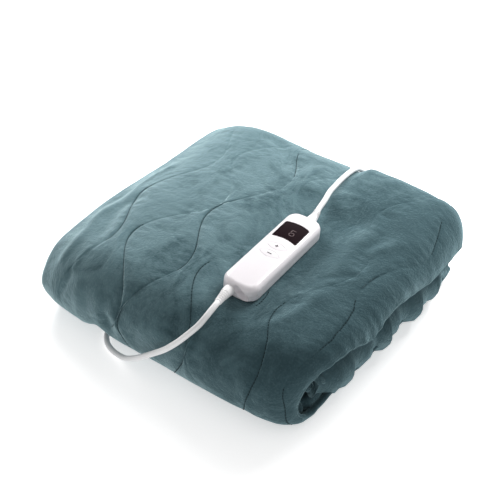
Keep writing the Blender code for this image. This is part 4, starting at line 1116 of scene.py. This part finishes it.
def choose(piece, kind, test):
    """Goes into edit mode with the faces, edges or points that pass the test selected."""
    alone(piece)
    data = piece.data
    for group in (data.vertices, data.edges, data.polygons):
        group.foreach_set("select", [False] * len(group))
    bpy.context.tool_settings.mesh_select_mode = [kind == each for each in ("VERT", "EDGE", "FACE")]
    places = [vertex.co for vertex in data.vertices]
    if kind == "VERT":
        chosen = [vertex for vertex in data.vertices if test(vertex.co)]
    elif kind == "EDGE":
        chosen = [edge for edge in data.edges if test(*(places[at] for at in edge.vertices))]
    else:
        chosen = [face for face in data.polygons if test(face.center, face.normal)]
    for part in chosen:
        part.select = True
        for at in () if kind == "VERT" else part.vertices:
            data.vertices[at].select = True
    bpy.ops.object.mode_set(mode="EDIT")


def runs_along(axis, least):
    """The test for edges that run further than this along the axis."""
    return lambda a, b: abs(getattr(a, axis) - getattr(b, axis)) > least


def bevelled(piece, test, offset, segments):
    choose(piece, "EDGE", test)
    bpy.ops.mesh.bevel(offset=offset, segments=segments, profile=0.5, affect="EDGES")
    alone(piece)


def divided(piece, test, cuts):
    choose(piece, "EDGE", test)
    bpy.ops.mesh.subdivide(number_cuts=cuts)
    alone(piece)


def finished(piece, place, material, slot, *nodes, sharp=40):
    """Carries a piece to its place, smooths it but for its sharp edges, and makes it part of the object."""
    alone(piece)
    piece.data.transform(place)
    bpy.ops.object.shade_smooth_by_angle(angle=math.radians(sharp))
    hand_over(piece, material, slot, *nodes)


def modified(piece, kind, **settings):
    """Adds a modifier and applies it."""
    alone(piece)
    modifier = piece.modifiers.new(kind.lower(), kind)
    for name, value in settings.items():
        setattr(modifier, name, value)
    bpy.ops.object.modifier_apply(modifier=modifier.name)


def cut(piece, cutter):
    modified(piece, "BOOLEAN", operation="DIFFERENCE", object=cutter, solver="EXACT")
    bpy.data.objects.remove(cutter)


def drawn_out(name, rows, sides=28):
    """A piece drawn out along +Z by extruding and resizing its end, from rows of z, half width, half height
    and how far it leans to +X."""
    z, wide, tall, lean = rows[0]
    piece = added(name, bpy.ops.mesh.primitive_circle_add, vertices=sides, radius=wide, fill_type="NGON",
                  location=(lean, 0, z))
    choose(piece, "FACE", lambda middle, normal: True)
    bpy.ops.transform.resize(value=(1, tall / wide, 1), center_override=(lean, 0, z))
    for before, (z, wide, tall, lean) in zip(rows, rows[1:]):
        step = (lean - before[3], 0, z - before[0])
        bpy.ops.mesh.extrude_region_move(TRANSFORM_OT_translate={"value": step})
        bpy.ops.transform.resize(value=(wide / before[1], tall / before[2], 1), center_override=(lean, 0, z))
    bpy.ops.mesh.select_all(action="SELECT")
    bpy.ops.mesh.normals_make_consistent(inside=False)
    return piece


def ribbed(rows, start, end, count, deep):
    """Rows with this number of grooves cut into them, evenly from one z to another."""
    keys, *others = zip(*rows)
    made = list(rows)
    for at in np.linspace(start, end, count):
        for off, sunk in ((-RIB_FOOT, 0), (-RIB_FLOOR, deep), (RIB_FLOOR, deep), (RIB_FOOT, 0)):
            wide, tall, lean = (np.interp(at + off, keys, column) for column in others)
            made.append((at + off, wide - sunk, tall - sunk, lean))
    return sorted(made)


# ---- The hand control ----------------------------------------------------------------------------
def on_wall(a, b):
    """Whether an edge of the flat face lies along the housing's outer wall."""
    middle = (a + b) / 2
    past_x = abs(middle.x) - CONTROL_WIDTH / 2
    past_y = abs(middle.y) - CONTROL_LENGTH / 2 + HOUSING_BOW
    corner = min(past_x, past_y) > -CONTROL_CORNER
    out = math.hypot(past_x + CONTROL_CORNER, past_y + CONTROL_CORNER) / CONTROL_CORNER
    return max(past_x, past_y) > -WALL_NEAR or (corner and out > WALL_OUT)


def housing_half(name, low, high, edge_z, offset):
    """Half of the housing: a block with round corners and the rim at edge_z softened, its ends divided and
    bowed outwards."""
    tall = high - low
    half = cube(name, (CONTROL_WIDTH, CONTROL_LENGTH - 2 * HOUSING_BOW, tall), (0, 0, (low + high) / 2))
    bevelled(half, runs_along("z", tall / 2), offset=CONTROL_CORNER, segments=10)
    divided(half, runs_along("x", CONTROL_WIDTH / 4), cuts=7)

    def on_rim(a, b):
        return max(abs(a.z - edge_z), abs(b.z - edge_z)) < TINY and on_wall(a, b)

    bevelled(half, on_rim, offset=offset, segments=8)
    for vertex in half.data.vertices:
        if abs(vertex.co.y) > CONTROL_LENGTH / 4:
            bow = HOUSING_BOW * (1 - (vertex.co.x / (CONTROL_WIDTH / 2)) ** 2)
            vertex.co.y += math.copysign(bow, vertex.co.y)
    return half


def scoop_cutter():
    """The hollow beside the lower lead, in the housing's end."""
    middle, radii, lean = SCOOP
    return added("scoop", bpy.ops.mesh.primitive_uv_sphere_add, segments=40, ring_count=24, radius=1,
                 location=middle, scale=radii, rotation=(0, lean, 0))


def window_block(name, low, high, grow):
    """The window's shape: a block divided across, its ends bowed towards the control's upper end."""
    half, bottom, top = DISPLAY_HALF + grow, DISPLAY_BOTTOM - grow, DISPLAY_TOP + grow
    block = cube(name, (2 * half, top - bottom, high - low), (0, (top + bottom) / 2, (low + high) / 2))
    bevelled(block, runs_along("z", (high - low) / 2), offset=DISPLAY_CORNER, segments=5)
    divided(block, runs_along("x", half), cuts=11)
    for vertex in block.data.vertices:
        vertex.co.y += DISPLAY_BOW * (1 - (vertex.co.x / half) ** 2)
    return block


def lens_block(name, middle, half_x, half_y, low, high, grow=0.0):
    """A key's shape: a round block squeezed to a lens."""
    block = added(name, bpy.ops.mesh.primitive_cylinder_add, vertices=48, radius=1, depth=1,
                  location=(0, middle, (low + high) / 2), scale=(half_x + grow, half_y + grow, high - low))
    for vertex in block.data.vertices:
        share = abs(vertex.co.x) / (half_x + grow)
        vertex.co.y = middle + (vertex.co.y - middle) * (KEY_MIDDLE - KEY_SQUEEZE * share**2)
    return block


def domed_key(name, middle, half_x, half_y, floor, proud):
    """A key: its lens, with a softened rim and a shallow crown."""
    top = COVER_HEIGHT + proud
    key = lens_block(name, middle, half_x, half_y, floor, top)
    choose(key, "FACE", lambda at, normal: normal.z > FACING)
    for share in KEY_RINGS:
        bpy.ops.mesh.inset(thickness=half_y * share, depth=0)
    alone(key)
    for vertex in key.data.vertices:
        if vertex.co.z > top - TINY:
            reach = math.hypot(vertex.co.x / half_x, (vertex.co.y - middle) / half_y)
            vertex.co.z = top - proud * min(reach, 1.0) ** 3
    return key


def bars(name, boxes, thick, z):
    """Printed marks: thin slabs with softened corners, each a middle and a size, joined to one piece."""
    pieces = []
    for at, (x, y, long_x, long_y) in enumerate(boxes):
        pieces.append(cube(f"{name}_{at}", (long_x, long_y, thick), (x, y, z + thick / 2)))
        rounding = min(long_x, long_y) * MARK_ROUND
        bevelled(pieces[-1], runs_along("z", thick / 2), offset=rounding, segments=4)
    for piece in pieces:
        piece.select_set(True)
    bpy.context.view_layer.objects.active = pieces[0]
    bpy.ops.object.join()
    pieces[0].name = name
    return pieces[0]


class THROW_OT_mould_control(bpy.types.Operator):
    """Mould the hand control: its base and cover, window, keys and marks"""

    bl_idname = "throw.mould_control"
    bl_label = "Mould the Control"

    def execute(self, context):
        colours, sizes = context.scene.throw_colours, context.scene.throw_sizes
        plastic = moulded("housing_plastic", colours.housing, roughness=0.34, coat=0.25)
        floor, over = COVER_HEIGHT - PLATE - CLEAR, COVER_HEIGHT + PLATE
        base = housing_half("housing_base", 0.0, BASE_HEIGHT, 0.0, sizes.foot_round)
        cover = housing_half("housing_cover", BASE_HEIGHT + CLEAR, COVER_HEIGHT, COVER_HEIGHT,
                             sizes.rim_round)
        for piece in (base, cover):
            cut(piece, scoop_cutter())
        cut(cover, window_block("window_pocket", floor, over, CLEAR))
        for name, _, *shape in KEYS:
            cut(cover, lens_block(name + "_pocket", *shape, floor, over, CLEAR))
        for piece, node in ((base, "control_base"), (cover, "control_cover")):
            finished(piece, ON_CONTROL, plastic, "housing_plastic", node, sharp=32)
        glass = window_block("display_glass", floor + CLEAR, COVER_HEIGHT, 0.0)
        bevelled(glass, lambda a, b: min(a.z, b.z) > COVER_HEIGHT - TINY, offset=DISPLAY_EDGE, segments=3)
        finished(glass, ON_CONTROL, window_acrylic(colours), "display_window", "control_display")
        for name, node, *shape in KEYS:
            key = domed_key(name, *shape, floor + CLEAR, sizes.key_proud)
            finished(key, ON_CONTROL, plastic, "housing_plastic", node)
        self.print_marks(colours, COVER_HEIGHT + sizes.key_proud)
        return {"FINISHED"}

    def print_marks(self, colours, key_top):
        """The figure in the window and the signs on the keys."""
        x, y, size, stroke = FIGURE
        rows = [(x, y + size * level, size, stroke) for level in (-1, 0, 1)]
        posts = [(x + side * size * POST_OUT, y + size / 2 * half, stroke, size * POST_TALL)
                 for side, half in ((-1, -1), (-1, 1), (1, -1))]
        figure = bars("display_figure", rows + posts, FIGURE_THICK, COVER_HEIGHT)
        finished(figure, ON_CONTROL, printed("figure_glow", colours.figure), "display_window")
        signs = [(0, KEYS[key][2], wide, tall) for key, wide, tall in SIGNS]
        marks = bars("key_marks", signs, SIGN_THICK, key_top)
        finished(marks, ON_CONTROL, printed("mark_ink", colours.ink), "housing_plastic")


class THROW_OT_fit_reliefs(bpy.types.Operator):
    """Draw out the strain reliefs at both ends of the control and the sleeve that enters the throw"""

    bl_idname = "throw.fit_reliefs"
    bl_label = "Fit the Reliefs"

    def execute(self, context):
        colours = context.scene.throw_colours
        rubber = moulded("relief_rubber", colours.relief, roughness=0.48, grain=0.0004)
        for name, node, middle, end, lean in RELIEFS:
            rows = []
            for share in np.linspace(0, 1, RELIEF_STEPS):
                half = RELIEF_ROOT + (RELIEF_TIP - RELIEF_ROOT) * smooth(share)
                rows.append((RELIEF_LENGTH * share, half, half * RELIEF_SQUASH, lean * share**2))
            relief = drawn_out(name, ribbed(rows, *RELIEF_RIBS))
            start = Matrix.Translation((middle, end * (CONTROL_LENGTH / 2 + CLEAR), RELIEF_Z))
            place = ON_CONTROL @ start @ Matrix.Rotation(-end * math.pi / 2, 4, "X")
            finished(relief, place, rubber, "relief_rubber", node)
        self.draw_gland(rubber)
        return {"FINISHED"}

    def draw_gland(self, rubber):
        """The sleeve on the lead where it enters the throw."""
        start = Vector(BLANKET_LEAD_ROUTE[-1])
        axis = Vector(GLAND_TO) - start
        small, wide = LEAD_SIZE / 2 + GLAND_WALL, GLAND_RADIUS
        shape = ((0, small), (GLAND_FLARE, wide), (1, wide))
        rows = [(GLAND_LENGTH * share, half, half, 0) for share, half in shape]
        gland = drawn_out("gland_sleeve", ribbed(rows, *GLAND_RIBS))
        place = Matrix.Translation(start + axis.normalized() * GLAND_OFF + SHIFT)
        place = place @ axis.to_track_quat("Z", "Y").to_matrix().to_4x4()
        finished(gland, place, rubber, "relief_rubber", "blanket_gland")


class THROW_OT_make_plug(bpy.types.Operator):
    """Make the mains plug with its ribbed relief, its two pins, and the tie round the coil"""

    bl_idname = "throw.make_plug"
    bl_label = "Make the Plug and the Tie"

    def execute(self, context):
        colours = context.scene.throw_colours
        relief = ribbed(PLUG_RELIEF_ROWS, *PLUG_RELIEF_RIBS)
        end = PLUG_RELIEF + PLUG_BODY
        rows = [(PLUG_RELIEF + z, wide, tall, 0) for z, wide, tall in PLUG_ROWS]
        plug = drawn_out("plug_body", relief + ribbed(rows, *PLUG_GRIP_RIBS), sides=40)
        backwards = Matrix.Rotation(-math.pi / 2, 4, "Y")
        at = PLUG_AT + SHIFT - Vector((CLEAR, 0, 0))
        place = Matrix.Translation(at) @ backwards @ Matrix.Rotation(math.pi / 2, 4, "Z")
        plastic = moulded("plug_plastic", colours.housing, roughness=0.38)
        finished(plug, place, plastic, "plug_plastic", "mains_plug")
        metal = nickel()
        for name, node, side in (("pin_one", "plug_pin_left", 1), ("pin_two", "plug_pin_right", -1)):
            rows = [(PIN_LENGTH - short, PIN_RADIUS - thin, PIN_RADIUS - thin, 0) for short, thin in PIN_ROWS]
            pin = drawn_out(name, rows, sides=24)
            root = Matrix.Translation(at + Vector((-end - CLEAR, side * PIN_APART / 2, 0)))
            finished(pin, root @ backwards, metal, "pin_metal", node)
        self.wrap_tie(colours, context.scene.throw_sizes)
        return {"FINISHED"}

    def wrap_tie(self, colours, sizes):
        """A woven hook-and-loop band round the coil's section."""
        size = (COIL_WIDE + 2 * (CLEAR + TIE_ROOM), sizes.tie_width, COIL_TALL + 2 * CLEAR)
        band = cube("tie_wrap", size, (0, 0, 0))
        choose(band, "FACE", lambda middle, normal: abs(normal.y) > FACING)
        bpy.ops.mesh.delete(type="ONLY_FACE")
        bevelled(band, runs_along("y", sizes.tie_width / 2), offset=LEAD_SIZE / 2 + CLEAR, segments=6)
        modified(band, "SOLIDIFY", thickness=sizes.tie_thick, offset=1.0)
        modified(band, "BEVEL", width=TIE_EDGE, segments=2, limit_method="ANGLE")
        out = Vector((math.cos(TIE_ANGLE), math.sin(TIE_ANGLE), 0)) * COIL_MEAN
        place = Matrix.Translation(Vector((*COIL_AT, COIL_Z + COIL_TALL / 2)) + out + SHIFT)
        place = place @ Matrix.Rotation(TIE_ANGLE, 4, "Z")
        finished(band, place, woven_tape(colours), "tie_band", "coil_tie")


# ---- The studio ----------------------------------------------------------------------------------
def facing(piece, aim, turn, rise, away):
    """Sets a piece looking at aim, from a side that is turned from the front and raised, in degrees."""
    turn, rise = math.radians(turn), math.radians(rise)
    side = Vector((math.sin(turn) * math.cos(rise), -math.cos(turn) * math.cos(rise), math.sin(rise)))
    piece.location = aim + side * away
    piece.rotation_euler = (piece.location - aim).to_track_quat("Z", "Y").to_euler()


class THROW_OT_set_stage(bpy.types.Operator):
    """Lay the pale floor, hang the soft lights and set the camera"""

    bl_idname = "throw.set_stage"
    bl_label = "Set the Stage"

    def execute(self, context):
        scene, studio = context.scene, context.scene.throw_studio
        bpy.ops.object.select_all(action="DESELECT")
        bpy.ops.mesh.primitive_plane_add(size=FLOOR_SIZE, location=(0, 0, 0))
        floor = context.object
        floor.name = "studio_floor"
        floor.data.materials.append(floor_paint(scene.throw_colours, studio.floor_glow))
        aim = CAMERA_AIM + SHIFT
        for name, turn, rise, away, size, power in LIGHT_ROWS:
            light = bpy.data.lights.new(name, "AREA")
            light.shape = "SQUARE"
            light.size = size
            light.energy = getattr(studio, power)
            facing(linked(name, light), aim, turn, rise, away)
        scene.world = bpy.data.worlds.new("studio_air")
        scene.world.use_nodes = True
        sky = scene.world.node_tree.nodes["Background"]
        sky.inputs["Color"].default_value = (1.0, 1.0, 1.0, 1.0)
        sky.inputs["Strength"].default_value = studio.air_light
        camera = bpy.data.cameras.new("camera")
        camera.lens = CAMERA_LENS
        camera.sensor_width = 36.0
        scene.camera = linked("camera", camera)
        facing(scene.camera, aim, CAMERA_TURN, CAMERA_RISE, CAMERA_AWAY)
        scene.view_settings.view_transform = "Standard"
        return {"FINISHED"}


# ---- What a user would change --------------------------------------------------------------------
def measure(name, description, default):
    return FloatProperty(name=name, description=description, default=default, unit="LENGTH", min=0.0,
                         precision=5)


def tint(name, description, default):
    return FloatVectorProperty(name=name, description=description, default=default, subtype="COLOR", size=3,
                               min=0.0, max=1.0)


def power(name, description, default):
    return FloatProperty(name=name, description=description, default=default, unit="POWER")


class ThrowSizes(bpy.types.PropertyGroup):
    stitch_long: measure("Stitch", "How long a stitch shows", 0.0030)
    stitch_every: measure("Stitch pitch", "From one stitch to the next", 0.0043)
    thread: measure("Thread", "How thick the sewing thread is", 0.0009)
    rim_round: measure("Rim", "Rounding of the control's upper rim", 0.0070)
    foot_round: measure("Foot", "Rounding of the control's lower rim", 0.0034)
    key_proud: measure("Key height", "How far the keys stand out of the cover", 0.0004)
    tie_width: measure("Tie width", "How wide the band round the coil is", 0.010)
    tie_thick: measure("Tie thickness", "How thick the band round the coil is", 0.0008)


class ThrowColours(bpy.types.PropertyGroup):
    pile: tint("Pile", "The flannel where its nap lies away", (0.066, 0.122, 0.138))
    # Pile in shade is also laid over the +X side and beside the stitch lines as painted shade.
    pile_shade: tint("Pile in shade", "The flannel where its nap stands up", (0.027, 0.056, 0.066))
    pile_light: tint("Pile tips", "The flannel's brushed tips", (0.110, 0.172, 0.190))
    # The furrow colour is painted shade along the stitch lines, in the base colour and in the sheen.
    furrow: tint("Furrow", "The ground of the cloth along a stitch line", (0.012, 0.026, 0.030))
    thread: tint("Thread", "The sewing thread", (0.010, 0.024, 0.028))
    sheen: tint("Sheen", "The bloom on the pile at a flat angle", (0.66, 0.87, 0.92))
    # Sheen in shade is also laid over the +X side as painted shade.
    sheen_shade: tint("Sheen in shade", "The bloom where the nap stands up", (0.31, 0.47, 0.51))
    sheath: tint("Lead", "The leads' sheath", (0.83, 0.83, 0.835))
    housing: tint("Housing", "The hand control's plastic", (0.755, 0.722, 0.745))
    relief: tint("Relief", "The strain reliefs' rubber", (0.80, 0.79, 0.795))
    figure: tint("Figure", "The figure in the display window", (0.050, 0.026, 0.028))
    ink: tint("Ink", "The signs on the keys", (0.06, 0.055, 0.06))
    window: tint("Window", "The display window", (0.010, 0.004, 0.006))
    floor: tint("Floor", "The studio floor", (0.90, 0.90, 0.90))


class ThrowStudio(bpy.types.PropertyGroup):
    left_power: power("Left light", "Power from the left", 5.0)
    back_power: power("Back light", "Power from behind", 7.0)
    top_power: power("Top light", "Power from above", 2.4)
    fill_power: power("Fill light", "Power from the front", 1.6)
    air_light: FloatProperty(name="Air", description="Even light from all round", default=0.45)
    floor_glow: FloatProperty(name="Floor glow", description="Light that the floor gives", default=0.52)


STEPS = (
    THROW_OT_set_stage,
    THROW_OT_sew_lines,
    THROW_OT_fold_cloth,
    THROW_OT_mould_control,
    THROW_OT_fit_reliefs,
    THROW_OT_make_plug,
    THROW_OT_run_leads,
)


class THROW_PT_workshop(bpy.types.Panel):
    """The throw's sizes, colours and studio, and the steps that build it"""

    bl_idname = "THROW_PT_workshop"
    bl_label = "Folded Heated Throw"
    bl_space_type = "VIEW_3D"
    bl_region_type = "UI"
    bl_category = "Throw"

    def draw(self, context):
        scene = context.scene
        for group in (scene.throw_sizes, scene.throw_colours, scene.throw_studio):
            column = self.layout.column()
            for name in group.__annotations__:
                column.prop(group, name)
        for step in STEPS:
            self.layout.operator(step.bl_idname)


CLASSES = (ThrowSizes, ThrowColours, ThrowStudio, *STEPS, THROW_PT_workshop)


def register():
    for made in CLASSES:
        bpy.utils.register_class(made)
    bpy.types.Scene.throw_sizes = PointerProperty(type=ThrowSizes)
    bpy.types.Scene.throw_colours = PointerProperty(type=ThrowColours)
    bpy.types.Scene.throw_studio = PointerProperty(type=ThrowStudio)


def unregister():
    del bpy.types.Scene.throw_sizes
    del bpy.types.Scene.throw_colours
    del bpy.types.Scene.throw_studio
    for made in reversed(CLASSES):
        bpy.utils.unregister_class(made)


def main():
    register()
    bpy.ops.throw.set_stage()
    bpy.ops.throw.sew_lines()
    bpy.ops.throw.fold_cloth()
    bpy.ops.throw.mould_control()
    bpy.ops.throw.fit_reliefs()
    bpy.ops.throw.make_plug()
    bpy.ops.throw.run_leads()


if __name__ == "__main__":
    main()
